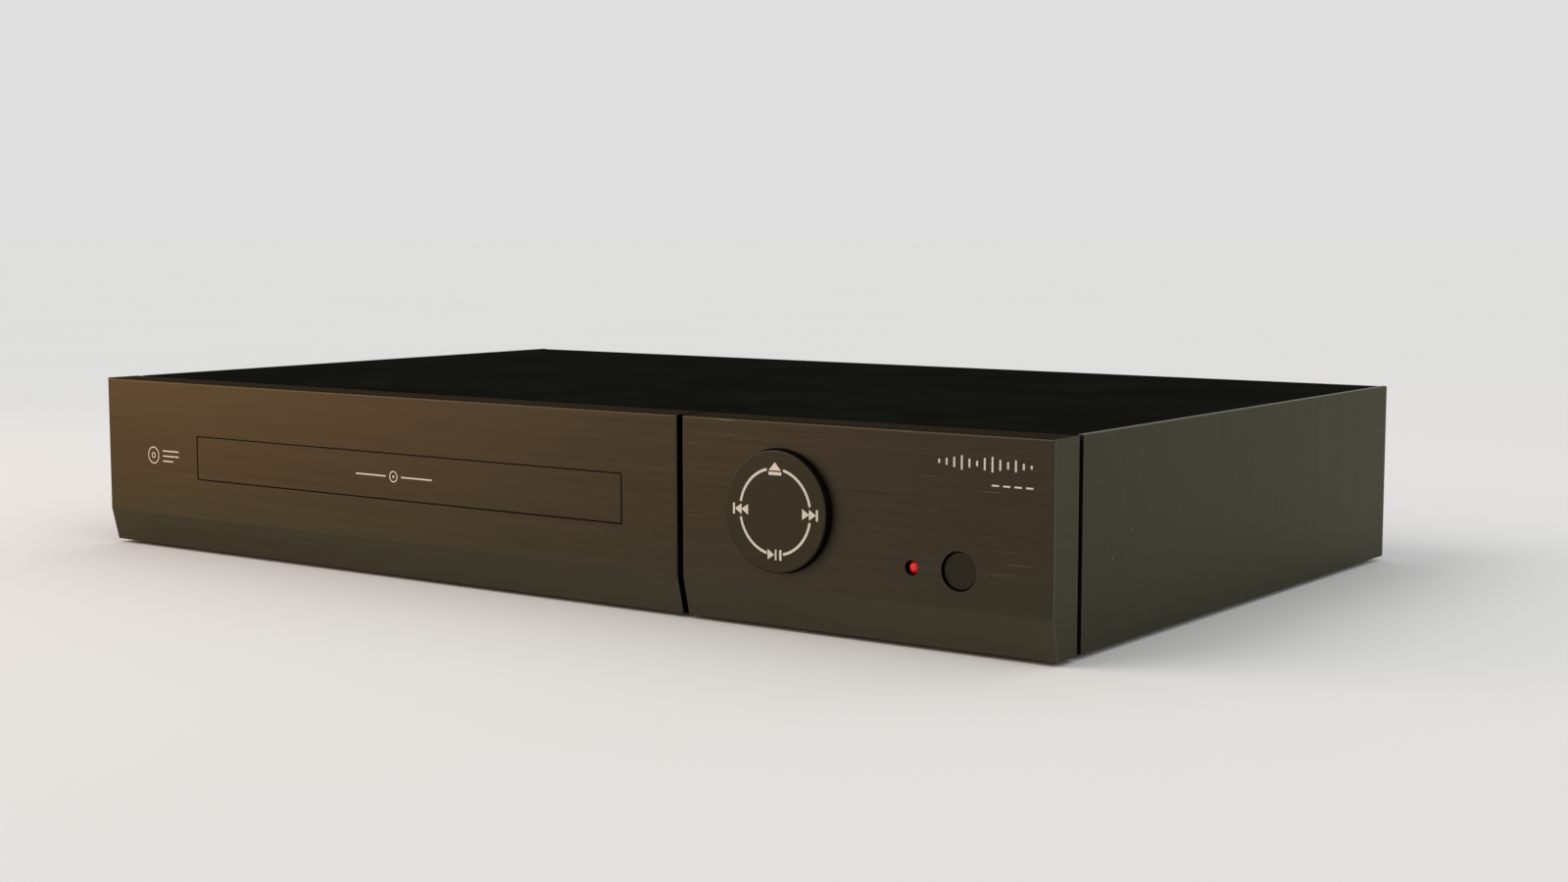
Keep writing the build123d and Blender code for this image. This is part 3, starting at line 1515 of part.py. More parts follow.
with BuildPart() as board_chips:
    for x_share, depth_share, width, length, height in (
        (0.36, 0.32, 28.0, 28.0, 3.2),
        (0.62, 0.28, 22.0, 10.0, 1.4),
        (0.62, 0.39, 22.0, 10.0, 1.4),
        (0.36, 0.57, 14.0, 14.0, 2.0),
        (0.67, 0.66, 18.0, 8.0, 2.0),
    ):
        x = main_board_x(x_share)
        depth = board_depth(depth_share)
        block(
            x - width / 2, x + width / 2, depth - length / 2, depth + length / 2,
            board_top, board_top + height,
        )
save(board_chips, "board_chips")

with BuildPart() as board_capacitors:
    for x_share, depth_share in ((0.82, 0.2), (0.82, 0.3), (0.82, 0.4), (0.15, 0.72), (0.51, 0.75)):
        post(main_board_x(x_share), board_depth(depth_share), 4.0, board_top, board_top + 11.5)
save(board_capacitors, "board_capacitors")

power_mid = (power_board_left + power_board_right) / 2

with BuildPart() as power_transformer:
    # E-shaped ferrite core halves round a wound bobbin.
    half_width = transformer_width / 2
    front_end = board_depth(0.465) - transformer_length / 2
    rear_end = front_end + transformer_length
    block(
        power_mid - half_width, power_mid + half_width, front_end, rear_end,
        board_top + 3, board_top + transformer_height,
    )
    block(
        power_mid - half_width + 5, power_mid + half_width - 5, front_end - 4, rear_end + 4,
        board_top + 1, board_top + transformer_height + 2,
    )
    chamfer(edges().filter_by(Axis.Z), length=0.8)
    block(
        power_mid - half_width + 3, power_mid + half_width - 3, front_end - 2, rear_end + 2,
        board_top, board_top + 2,
    )
save(power_transformer, "power_transformer")

with BuildPart() as filter_capacitors:
    post(power_mid - 12, board_depth(0.75), 9.0, board_top, board_top + large_filter_height)
    for step in (-1, 0, 1):
        x = power_mid + small_filter_offset + step * small_filter_pitch
        post(x, board_depth(0.14), 5.0, board_top, board_top + small_filter_height)
save(filter_capacitors, "filter_capacitors")

with BuildPart() as heat_sink:
    # Extruded comb: a back plate with fins, standing on the board.
    with BuildSketch(level(board_top)):
        with Locations((power_mid, behind(board_depth(0.28)))):
            Rectangle(sink_width, 3)
        with Locations((power_mid, behind(board_depth(0.28) - 6))):
            with GridLocations(sink_width / 6 - 0.3, 1, 7, 1):
                Rectangle(1.6, 10)
    extrude(amount=sink_height)
save(heat_sink, "heat_sink")

# ---- Mains inlet: two-pin socket through the rear panel ----

with BuildPart() as mains_inlet:
    with BuildSketch(upright(inlet_rear - inlet_length)):
        with Locations((inlet_x, above(inlet_mid_height))):
            Rectangle(inlet_width, inlet_tall)
    extrude(amount=-inlet_length)
    with BuildSketch(upright(inlet_rear - 12.0)):
        with Locations((inlet_x, above(inlet_mid_height))):
            SlotOverall(17.5, 9.6)
    extrude(amount=-12.0, mode=Mode.SUBTRACT)
    block(
        inlet_x - inlet_width / 2, inlet_x + inlet_width / 2, inlet_rear - inlet_length,
        boards_rear, board_top, inlet_mid_height - inlet_tall / 2,
    )
save(mains_inlet, "mains_inlet")

with BuildPart() as inlet_pins:
    for side in (-1, 1):
        stub(inlet_x + side * 4.3, inlet_mid_height, 1.2, inlet_rear - 12.0, inlet_rear - 2.0)
save(inlet_pins, "inlet_pins")

# ---- Audio and video sockets: a block on the main board and their sleeves ----

jack_left = jack_x[0] - jack_pitch / 2
jack_right = jack_x[-1] + jack_pitch / 2

with BuildPart() as jack_block:
    block(
        jack_left, jack_right, rear_front - 14.0, rear_front, board_top,
        jack_heights[-1] + jack_pitch / 2,
    )
    chamfer(edges().filter_by(Axis.Y), length=0.8)
save(jack_block, "jack_block")

jack_end = body_depth + jack_proud
jack_core_radius = jack_radius - 0.85
jack_bore_depth = 8.0

with BuildPart() as jack_sleeves:
    for height in jack_heights:
        for x in jack_x:
            stub(x, height, jack_radius, rear_front, jack_end)
            stub(x, height, jack_core_radius, jack_end - jack_bore_depth, jack_end, Mode.SUBTRACT)
save(jack_sleeves, "jack_sleeves")

with BuildPart() as jack_cores:
    for height in jack_heights:
        for x in jack_x:
            stub(x, height, jack_core_radius, jack_end - jack_bore_depth, jack_end - 0.4)
            stub(x, height, 1.6, jack_end - jack_bore_depth + 1.0, jack_end - 0.4, Mode.SUBTRACT)
save(jack_cores, "jack_cores")
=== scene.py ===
import json
import math

import bmesh
import bpy
import numpy as np
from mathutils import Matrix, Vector


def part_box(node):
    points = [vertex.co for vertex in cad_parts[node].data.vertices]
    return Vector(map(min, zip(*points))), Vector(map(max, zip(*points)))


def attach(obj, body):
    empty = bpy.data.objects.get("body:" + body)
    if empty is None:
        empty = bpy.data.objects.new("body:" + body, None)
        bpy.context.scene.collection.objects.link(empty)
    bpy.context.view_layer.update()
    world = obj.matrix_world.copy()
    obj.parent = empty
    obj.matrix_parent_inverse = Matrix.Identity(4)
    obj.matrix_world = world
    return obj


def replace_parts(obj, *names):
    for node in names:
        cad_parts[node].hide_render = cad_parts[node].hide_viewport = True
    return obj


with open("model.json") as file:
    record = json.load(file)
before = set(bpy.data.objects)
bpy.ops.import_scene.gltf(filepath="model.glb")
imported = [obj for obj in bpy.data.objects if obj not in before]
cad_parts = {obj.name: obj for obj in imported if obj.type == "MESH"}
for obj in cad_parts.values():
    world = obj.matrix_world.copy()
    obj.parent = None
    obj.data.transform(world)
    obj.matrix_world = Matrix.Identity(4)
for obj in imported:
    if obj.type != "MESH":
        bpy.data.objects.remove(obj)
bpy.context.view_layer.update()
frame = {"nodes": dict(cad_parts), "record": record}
nodes = frame["nodes"]


def mm(value):
    return value / 1000.0


# ---- Places, in metres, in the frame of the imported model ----

CREASE_RISE = mm(12.6)  # from the cabinet's underside to the crease of the front
END_MARGIN = mm(2)

pad_low, pad_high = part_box("control_pad")
pad_x = (pad_low.x + pad_high.x) / 2
pad_z = (pad_low.z + pad_high.z) / 2
pad_face = pad_low.y
front_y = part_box("front_panel_left")[0].y
body_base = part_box("side_panel_right")[0].z
crease_z = body_base + CREASE_RISE
section_low, section_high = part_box("front_panel_right")
section_x = section_low.x
end_x = section_high.x - END_MARGIN

# ---- Meshes ----

SAME_PLACE = 2e-7
SHARP = math.radians(40)
INK_OUT, INK_IN = mm(0.03), mm(0.05)  # print stands off its face and reaches into it


def add_to_scene(name, data):
    made = bpy.data.objects.new(name, data)
    bpy.context.scene.collection.objects.link(made)
    return made


def mesh_object(name, verts, faces):
    """An object from vertices and faces, with doubles merged and the faces turned outwards."""
    data = bpy.data.meshes.new(name)
    data.from_pydata([tuple(v) for v in verts], [], faces)
    data.validate()
    bm = bmesh.new()
    bm.from_mesh(data)
    bmesh.ops.remove_doubles(bm, verts=bm.verts, dist=SAME_PLACE)
    bmesh.ops.recalc_face_normals(bm, faces=bm.faces)
    bm.to_mesh(data)
    bm.free()
    return add_to_scene(name, data)


def crease(piece):
    """Smooth shading apart from sharp edges."""
    data = piece.data
    data.polygons.foreach_set("use_smooth", [True] * len(data.polygons))
    data.set_sharp_from_angle(angle=SHARP)
    return piece


def dress(piece, paint):
    piece.data.materials.clear()
    piece.data.materials.append(paint)


def finish_piece(piece, body, slot=None):
    """Paints a piece as its slot says, or with print ink, and lets it ride on its body."""
    dress(piece, paints[slot] if slot else print_ink)
    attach(piece, body)
    return piece


def tube_faces(start, sides):
    """Quads from the ring of points that begins at start to the ring that follows it."""
    return [
        (start + k, start + (k + 1) % sides, start + sides + (k + 1) % sides, start + sides + k)
        for k in range(sides)
    ]


class Shape:
    """Gathers vertices and faces of several closed forms into one mesh."""

    def __init__(self):
        self.verts, self.faces = [], []

    def add(self, verts, faces):
        start = len(self.verts)
        self.verts += [tuple(v) for v in verts]
        self.faces += [tuple(i + start for i in f) for f in faces]

    def prism(self, outline, near, far, axis="y"):
        """A closed prism. Its outline is (x, z) for axis y, (x, y) for z and (y, z) for x."""
        n = len(outline)

        def point(p, w):
            return {"y": (p[0], w, p[1]), "z": (p[0], p[1], w), "x": (w, p[0], p[1])}[axis]

        verts = [point(p, w) for w in (near, far) for p in outline]
        ends = [tuple(range(n)), tuple(range(2 * n - 1, n - 1, -1))]
        self.add(verts, ends + tube_faces(0, n))

    def band(self, cx, cz, inner, outer, near, far, start=0, stop=360, steps=48):
        """A flat ring or part of one, facing along y. Degrees run from +x towards +z."""
        angles = [math.radians(start + (stop - start) * i / steps) for i in range(steps + 1)]
        rims = [
            (cx + radius * math.cos(a), cz + radius * math.sin(a))
            for radius in (outer, inner) for a in angles
        ]
        verts = [(x, w, z) for w in (near, far) for x, z in rims]
        m = steps + 1
        faces = []
        for i in range(steps):
            faces.append((i, i + 1, m + i + 1, m + i))
            faces.append((2 * m + i, 3 * m + i, 3 * m + i + 1, 2 * m + i + 1))
            faces.append((i, 2 * m + i, 2 * m + i + 1, i + 1))
            faces.append((m + i, m + i + 1, 3 * m + i + 1, 3 * m + i))
        faces.append((0, m, 3 * m, 2 * m))
        faces.append((steps, 2 * m + steps, 3 * m + steps, m + steps))
        self.add(verts, faces)

    def lathe(self, profile, centre, steps):
        """A closed form turned round the upright axis through centre.

        The profile is (radius, height) pairs that start and end on the axis.
        """
        cx, cy, cz = centre
        angles = [2 * math.pi * k / steps for k in range(steps)]
        verts = [(cx, cy, cz + profile[0][1])]
        for radius, height in profile[1:-1]:
            verts += [
                (cx + radius * math.cos(a), cy + radius * math.sin(a), cz + height)
                for a in angles
            ]
        verts.append((cx, cy, cz + profile[-1][1]))
        last = len(verts) - 1
        faces = [(0, 1 + (k + 1) % steps, 1 + k) for k in range(steps)]
        for row in range(len(profile) - 3):
            faces += tube_faces(1 + steps * row, steps)
        rim = last - steps
        faces += [(rim + k, rim + (k + 1) % steps, last) for k in range(steps)]
        self.add(verts, faces)

    def piece(self, name):
        return mesh_object(name, self.verts, self.faces)


def triangle(cx, cz, width, height, point):
    """An outline that points right, left or up."""
    w, h = width / 2, height / 2
    return {
        "right": [(cx - w, cz - h), (cx + w, cz), (cx - w, cz + h)],
        "left": [(cx + w, cz + h), (cx - w, cz), (cx + w, cz - h)],
        "up": [(cx - w, cz - h), (cx + w, cz - h), (cx, cz + h)],
    }[point]


def bar(cx, cz, width, height):
    """The outline of a rectangle."""
    w, h = width / 2, height / 2
    return [(cx - w, cz - h), (cx + w, cz - h), (cx + w, cz + h), (cx - w, cz + h)]


def cross_outline(a, h):
    """Twelve points of a plus sign round the origin, with arms of length a and half width h."""
    return [
        (a, -h), (a, h), (h, h), (h, a), (-h, a), (-h, h),
        (-a, h), (-a, -h), (-h, -h), (-h, -a), (h, -a), (h, -h),
    ]


def islands(node):
    """Lowest and highest corner of each separate solid of a node, from left to right."""
    data = nodes[node].data
    parent = list(range(len(data.vertices)))

    def root(i):
        while parent[i] != i:
            parent[i] = parent[parent[i]]
            i = parent[i]
        return i

    spots = {}
    for v in data.vertices:
        key = tuple(round(c, 6) for c in v.co)
        if key in spots:
            parent[root(v.index)] = root(spots[key])
        else:
            spots[key] = v.index
    for e in data.edges:
        parent[root(e.vertices[0])] = root(e.vertices[1])
    groups = {}
    for v in data.vertices:
        groups.setdefault(root(v.index), []).append(v.co)
    boxes = []
    for points in groups.values():
        a = np.array([tuple(p) for p in points])
        boxes.append((Vector(a.min(0)), Vector(a.max(0))))
    return sorted(boxes, key=lambda b: tuple(round(c, 4) for c in b[0]))


# ---- Materials: node helpers ----


class Paint:
    """A Principled material with procedural detail in the frame's own metres."""

    def __init__(self, name, **constants):
        self.material = bpy.data.materials.new(name)
        self.material.use_nodes = True
        self.tree = self.material.node_tree
        self.shader = self.tree.nodes["Principled BSDF"]
        for socket, value in constants.items():
            self.shader.inputs[socket.replace("_", " ")].default_value = value

    def node(self, kind, **inputs):
        made = self.tree.nodes.new(kind)
        for socket, value in inputs.items():
            self.join(value, made.inputs[socket.replace("_", " ")])
        return made

    def join(self, value, socket):
        if isinstance(value, bpy.types.NodeSocket):
            self.tree.links.new(value, socket)
        else:
            socket.default_value = value

    def place(self, scale=(1, 1, 1), shift=(0, 0, 0)):
        where = self.tree.nodes.new("ShaderNodeTexCoord")
        mapped = self.node("ShaderNodeMapping", Vector=where.outputs["Object"])
        mapped.inputs["Scale"].default_value = scale
        mapped.inputs["Location"].default_value = shift
        return mapped.outputs["Vector"]

    def axes(self, vector):
        """The X, Y and Z outputs of a vector."""
        return self.node("ShaderNodeSeparateXYZ", Vector=vector).outputs

    def noise(self, scale, detail=3.0, roughness=0.55, shift=(0, 0, 0)):
        made = self.node("ShaderNodeTexNoise", Vector=self.place(scale, shift))
        made.inputs["Scale"].default_value = 1.0
        made.inputs["Detail"].default_value = detail
        made.inputs["Roughness"].default_value = roughness
        return made.outputs["Fac"]

    def cells(self, scale, feature="F1", randomness=1.0):
        made = self.node("ShaderNodeTexVoronoi", Vector=self.place(scale))
        made.feature = feature
        made.inputs["Scale"].default_value = 1.0
        made.inputs["Randomness"].default_value = randomness
        return made.outputs["Distance"]

    def span(self, value, low, high, start=0.3, stop=0.7):
        """Runs from low to high while the value runs from start to stop."""
        made = self.node("ShaderNodeMapRange", Value=value)
        made.inputs["From Min"].default_value = start
        made.inputs["From Max"].default_value = stop
        made.inputs["To Min"].default_value = low
        made.inputs["To Max"].default_value = high
        return made.outputs["Result"]

    def math(self, operation, a, b=0.0):
        made = self.tree.nodes.new("ShaderNodeMath")
        made.operation = operation
        self.join(a, made.inputs[0])
        self.join(b, made.inputs[1])
        return made.outputs[0]

    def ramp(self, value, *stops):
        made = self.node("ShaderNodeValToRGB", Fac=value)
        elements = made.color_ramp.elements
        while len(elements) < len(stops):
            elements.new(0.5)
        for element, (at, colour) in zip(elements, stops):
            element.position = at
            element.color = (*colour, 1.0)
        return made.outputs["Color"]

    def mix(self, factor, a, b):
        made = self.tree.nodes.new("ShaderNodeMix")
        made.data_type = "RGBA"
        self.join(factor, made.inputs[0])
        self.join(a, made.inputs[6])
        self.join(b, made.inputs[7])
        return made.outputs[2]

    def colour(self, value):
        self.tree.links.new(value, self.shader.inputs["Base Color"])

    def rough(self, value):
        self.tree.links.new(value, self.shader.inputs["Roughness"])

    def bump(self, height, depth, strength=1.0):
        """Adds relief: depth is in metres."""
        made = self.node("ShaderNodeBump", Height=height)
        made.inputs["Distance"].default_value = depth
        made.inputs["Strength"].default_value = strength
        normal = self.shader.inputs["Normal"]
        if normal.is_linked:
            self.tree.links.new(normal.links[0].from_socket, made.inputs["Normal"])
        self.tree.links.new(made.outputs["Normal"], normal)


def scaled(colour, factor):
    return tuple(c * factor for c in colour)


# ---- Materials: brushed metal ----

# Noise scales along x, y and z. They are small in the brushing's direction.
GRAIN = {"x": (22, 420, 5200), "z": (4200, 4200, 26)}
BANDS = {"x": (5, 60, 900), "z": (700, 700, 7)}
SCRATCHES = {"x": (46, 300, 1500), "z": (1300, 1300, 60)}
LOW_FACE = mm(20)  # how far above the crease the lower tint of the face fades out


def front_painted_light(p, place, base, tone, painted_light):
    """Lays painted light and shade over the base. Returns the colour, and how far a face looks up.
    """
    surface = p.tree.nodes.new("ShaderNodeTexCoord")
    facing = p.axes(surface.outputs["Normal"])
    low = p.span(place["Z"], 1.0, 0.0, crease_z, crease_z + LOW_FACE)
    slope = p.span(facing["Z"], 1.0, 0.0, -0.2, -0.1)
    up = p.span(facing["Z"], 0.0, 1.0, 0.5, 0.8)
    across = p.span(p.math("ABSOLUTE", facing["X"]), 0.0, 1.0, 0.5, 0.8)
    outer = p.math("GREATER_THAN", p.math("ABSOLUTE", place["X"]), end_x)
    ends = p.math("MULTIPLY", across, outer)
    walls = p.math("MULTIPLY", across, p.math("SUBTRACT", 1.0, outer))
    # Each place gets its painted light or shade, streaked like the metal.
    for factor, tint in zip((low, slope, up, ends, walls), painted_light):
        streaked = p.ramp(tone, (0.34, scaled(tint, 0.9)), (0.66, scaled(tint, 1.1)))
        base = p.mix(factor, base, streaked)
    return base, up


def brushed(
    name, colour, along, streaks=1.0, rough=(0.33, 0.46), specks=False,
    edge=(0.5, 0.48, 0.4), painted_light=None,
):
    """Brushed, anodised metal. Along is the brushing's direction: x or z.

    Painted light and shade lie on the front's other parts: a greener cast on the face just
    above the crease, a painted reflection that lightens the slope below it, painted shade on
    the top edge, a painted highlight on the outer ends, and painted shade on the walls of its
    openings.
    """
    p = Paint(name, Metallic=1.0)
    p.shader.inputs["Specular Tint"].default_value = (*edge, 1.0)
    grain = p.noise(GRAIN[along], detail=3.0, roughness=0.6)
    bands = p.noise(BANDS[along], detail=4.0, roughness=0.6, shift=(3.1, 1.7, 5.3))
    cloud = p.noise((9, 9, 14), detail=2.0, shift=(7.7, 2.2, 0.4))
    tone = p.math("ADD", p.math("MULTIPLY", grain, 0.45), p.math("MULTIPLY", bands, 0.4))
    tone = p.math("ADD", tone, p.math("MULTIPLY", cloud, 0.15))
    base = p.ramp(
        tone,
        (0.34, scaled(colour, 1 - 0.13 * streaks)),
        (0.5, colour),
        (0.66, scaled(colour, 1 + 0.15 * streaks)),
    )
    # Short scratches catch the light. On the front they are clear in the right section alone.
    scratch = p.noise(SCRATCHES[along], detail=1.0, shift=(11.3, 4.9, 8.8))
    scratch = p.span(scratch, 0.0, 1.0, 0.7, 0.745)
    strength = 0.2
    if painted_light:
        place = p.axes(p.place())
        section = p.span(place["X"], 0.1, 1.0, section_x - mm(1), section_x)
        scratch = p.math("MULTIPLY", scratch, section)
        strength = 0.75
    scratch = p.math("MULTIPLY", scratch, strength * streaks)
    base = p.mix(scratch, base, (*scaled(colour, 2.5), 1.0))
    if specks:
        dots = p.span(p.cells((240, 240, 130)), 1.0, 0.0, 0.06, 0.1)
        patch = p.span(p.noise((16, 16, 22), shift=(5.5, 9.1, 2.3)), 0.0, 1.0, 0.56, 0.62)
        base = p.mix(p.math("MULTIPLY", dots, patch), base, (*scaled(colour, 3.2), 1.0))
    gloss = p.span(tone, rough[0], rough[1], 0.36, 0.64)
    # The front also gets painted light and shade, and its top faces are rougher.
    if painted_light:
        base, up = front_painted_light(p, place, base, tone, painted_light)
        gloss = p.math("MAXIMUM", gloss, p.math("MULTIPLY", up, 0.95))
    p.colour(base)
    p.rough(gloss)
    p.bump(grain, 0.000012, 0.6)
    p.bump(bands, 0.00002, 0.35)
    return p.material


FRONT = (0.045, 0.0372, 0.0252)
# Painted light and shade on the front, in turn: a greener cast just above the crease, a lighter
# slope that stands for its reflection of the floor, painted shade on the top edge, a painted
# highlight on the outer ends, painted shade on the walls of the openings.
FRONT_PAINTED_LIGHT = (
    (0.0445, 0.0412, 0.028),
    (0.069, 0.064, 0.0435),
    (0.02, 0.0165, 0.0115),
    (0.082, 0.083, 0.064),
    (0.006, 0.005, 0.004),
)
SIDE = (0.056, 0.0545, 0.0395)
CONTROL = (0.036, 0.0325, 0.0215)
BUTTON = (0.027, 0.0255, 0.0182)
CONTROL_LOOK = {"along": "x", "streaks": 0.35, "rough": (0.4, 0.47)}

paints = {
    "brushed_front": brushed("brushed_front", FRONT, "x", painted_light=FRONT_PAINTED_LIGHT),
    "brushed_side": brushed(
        "brushed_side", SIDE, "z", streaks=0.7, specks=True, edge=(0.75, 0.74, 0.66)
    ),
    "control_face": brushed("control_face", CONTROL, **CONTROL_LOOK),
}

# ---- Materials: mouldings, bare metal and boards ----


def moulded(name, colour, rough, grain=0.0006, depth=0.00003, tint=0.12):
    """Moulded plastic or a coated surface, with spark-eroded or powder texture."""
    p = Paint(name, Metallic=0.0)
    texture = p.noise((1.0 / grain,) * 3, detail=2.0)
    cloud = p.noise((24, 24, 24), detail=3.0, shift=(2.0, 8.0, 4.0))
    tone = p.math("ADD", p.math("MULTIPLY", cloud, 0.7), p.math("MULTIPLY", texture, 0.3))
    p.colour(p.ramp(tone, (0.35, scaled(colour, 1 - tint)), (0.65, scaled(colour, 1 + tint))))
    p.rough(p.span(cloud, rough[0], rough[1]))
    p.bump(texture, depth, 0.5)
    return p.material


def drawn_metal(name, colour, rough, along=(60, 60, 2400), tint=0.1):
    """Bare or plated metal with faint drawing lines."""
    p = Paint(name, Metallic=1.0)
    lines = p.noise(along, detail=3.0)
    cloud = p.noise((60, 60, 60), detail=2.0, shift=(1.0, 5.0, 9.0))
    dark, light = scaled(colour, 1 - tint), scaled(colour, 1 + tint * 0.6)
    p.colour(p.ramp(cloud, (0.35, dark), (0.65, light)))
    p.rough(p.span(lines, rough[0], rough[1]))
    p.bump(lines, 0.000006, 0.4)
    return p.material


def laminate(name, colour, track, hole):
    """A circuit board: solder mask over faint tracks, with rows of plated holes."""
    p = Paint(name, Roughness=0.38)
    # Tracks are the narrow borders between stretched square cells.
    cells = p.cells((160, 240, 160), "DISTANCE_TO_EDGE", randomness=0.55)
    tracks = p.span(cells, 1.0, 0.0, 0.05, 0.09)
    holes = p.span(p.cells((190, 190, 190), randomness=0.7), 1.0, 0.0, 0.08, 0.11)
    weave = p.noise((900, 900, 900), detail=1.0)
    base = p.ramp(weave, (0.4, scaled(colour, 0.9)), (0.6, scaled(colour, 1.1)))
    base = p.mix(p.math("MULTIPLY", tracks, 0.7), base, (*track, 1.0))
    base = p.mix(holes, base, (*hole, 1.0))
    p.colour(base)
    p.bump(tracks, 0.00003, 0.5)
    return p.material


# Colour, roughness from and to, width and depth of the texture in metres, spread of the tone.
MOULDED = {
    # The cover is black, and its near-black colour is also painted shade that keeps its top dark.
    "black_cover": ((0.0072, 0.0075, 0.0061), (0.65, 0.75), 0.0008, 0.00005, 0.2),
    "rear_sheet": ((0.016, 0.016, 0.016), (0.4, 0.5), 0.0008, 0.00003),
    "black_moulding": ((0.012, 0.012, 0.012), (0.5, 0.62), 0.0007, 0.00004),
    "foot_rubber": ((0.018, 0.018, 0.018), (0.75, 0.9), 0.0005, 0.00003),
    "tray_plastic": ((0.022, 0.022, 0.023), (0.42, 0.55), 0.0005, 0.00004),
    "gear_plastic": ((0.72, 0.69, 0.6), (0.3, 0.4), 0.0009, 0.00001, 0.05),
    "deck_plastic": ((0.035, 0.035, 0.038), (0.45, 0.58), 0.0006, 0.00004),
    "turntable_plastic": ((0.05, 0.05, 0.05), (0.4, 0.5), 0.0008, 0.00002),
    "switch_black": ((0.02, 0.02, 0.02), (0.4, 0.5)),
    "chip_black": ((0.02, 0.02, 0.021), (0.5, 0.62), 0.0003, 0.00001),
    "belt_rubber": ((0.014, 0.014, 0.014), (0.7, 0.85), 0.0004, 0.00003),
    "ribbon_white": ((0.75, 0.75, 0.72), (0.32, 0.4), 0.002, 0.00001, 0.04),
    "capacitor_sleeve": ((0.018, 0.022, 0.06), (0.22, 0.32), 0.003, 0.00002),
}
# Colour, roughness from and to, noise scales along x, y and z, spread of the tone.
DRAWN = {
    "plated_sheet": ((0.52, 0.53, 0.52), (0.3, 0.42), (300, 300, 300), 0.08),
    "screw_steel": ((0.6, 0.6, 0.57), (0.22, 0.34), (500, 500, 500)),
    "screw_black": ((0.05, 0.05, 0.052), (0.32, 0.44), (500, 500, 500)),
    "motor_steel": ((0.6, 0.6, 0.58), (0.2, 0.32)),
    "rod_steel": ((0.72, 0.72, 0.72), (0.08, 0.16)),
    "cast_metal": ((0.42, 0.42, 0.41), (0.4, 0.55), (700, 700, 700)),
    "bare_aluminium": ((0.68, 0.68, 0.68), (0.28, 0.4), (40, 40, 1800)),
    "pin_brass": ((0.72, 0.62, 0.36), (0.16, 0.26)),
    "armature_core": ((0.46, 0.22, 0.11), (0.3, 0.45), (30, 30, 2600), 0.25),
    "jack_nickel": ((0.68, 0.66, 0.62), (0.12, 0.24), (300, 300, 300)),
}
# Colours of the mask, the tracks and the holes.
LAMINATED = {
    "board_green": ((0.012, 0.085, 0.035), (0.03, 0.16, 0.06), (0.55, 0.5, 0.36)),
    "board_brown": ((0.26, 0.17, 0.08), (0.2, 0.12, 0.05), (0.5, 0.48, 0.42)),
}
for make, table in ((moulded, MOULDED), (drawn_metal, DRAWN), (laminate, LAMINATED)):
    for name, facts in table.items():
        paints[name] = make(name, *facts)

# The rear reflects less than bare plastic does. The cover reflects next to nothing: painted shade
# that keeps its top dark.
for name, level, index in (("black_cover", 0.0, 1.15), ("rear_sheet", 0.3, 1.5)):
    shader = paints[name].node_tree.nodes["Principled BSDF"]
    shader.inputs["Specular IOR Level"].default_value = level
    shader.inputs["IOR"].default_value = index

# ---- Materials: lamp, lens, ink, sockets and transformer ----

red = Paint("red_lens", Roughness=0.12, Emission_Strength=0.12)
red.shader.inputs["Emission Color"].default_value = (0.9, 0.012, 0.01, 1.0)
facets = red.cells((1500, 1500, 1500))
red.colour(red.ramp(facets, (0.2, (0.75, 0.012, 0.01)), (0.7, (0.55, 0.008, 0.008))))
paints["red_lens"] = red.material

lens = Paint("lens_glass", Roughness=0.04, IOR=1.6)
lens.shader.inputs["Transmission Weight"].default_value = 0.85
coating = lens.noise((300, 300, 300))
lens.colour(lens.ramp(coating, (0.4, (0.55, 0.6, 0.9)), (0.6, (0.6, 0.45, 0.85))))
paints["lens_glass"] = lens.material

ink = Paint("print_ink", Roughness=0.5)
speckle = ink.noise((2200, 2200, 2200))
ink.colour(ink.ramp(speckle, (0.4, (0.5, 0.465, 0.385)), (0.6, (0.58, 0.545, 0.46))))
ink.bump(ink.noise((4000, 4000, 4000)), 0.000004, 0.4)
print_ink = ink.material

CORE_RADIUS, CORE_HALF_PITCH = mm(3.3), mm(7)
# Colours of the sockets in the lower and the upper row, from left to right.
CORES = (
    ((0.75, 0.55, 0.03), (0.72, 0.7, 0.66), (0.55, 0.03, 0.02), (0.03, 0.03, 0.03)),
    ((0.03, 0.3, 0.06), (0.03, 0.09, 0.42), (0.55, 0.03, 0.02), (0.62, 0.2, 0.02)),
)


def core_paint():
    """The insulating cores of the sockets, each in its own colour."""
    low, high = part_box("jack_cores")
    run = high.x - low.x - 2 * CORE_RADIUS
    core = Paint("jack_core", Roughness=0.3)
    place = core.axes(core.place())
    rows = []
    for colours in CORES:
        shade = (*colours[0], 1.0)
        for column, colour in enumerate(colours[1:], 1):
            middle = low.x + CORE_RADIUS + column * run / (len(colours) - 1)
            past = core.math("GREATER_THAN", place["X"], middle - CORE_HALF_PITCH)
            shade = core.mix(past, shade, (*colour, 1.0))
        rows.append(shade)
    upper = core.math("GREATER_THAN", place["Z"], (low.z + high.z) / 2)
    plain = core.mix(upper, rows[0], rows[1])
    grain = core.noise((700, 700, 700), detail=2.0)
    core.colour(core.mix(core.span(grain, 0.0, 0.25), plain, (0.01, 0.01, 0.01, 1.0)))
    core.bump(grain, 0.00002, 0.4)
    return core.material


WOUND_HALF_WIDTH, CORE_HALF_DEPTH = mm(12.1), mm(14.02)


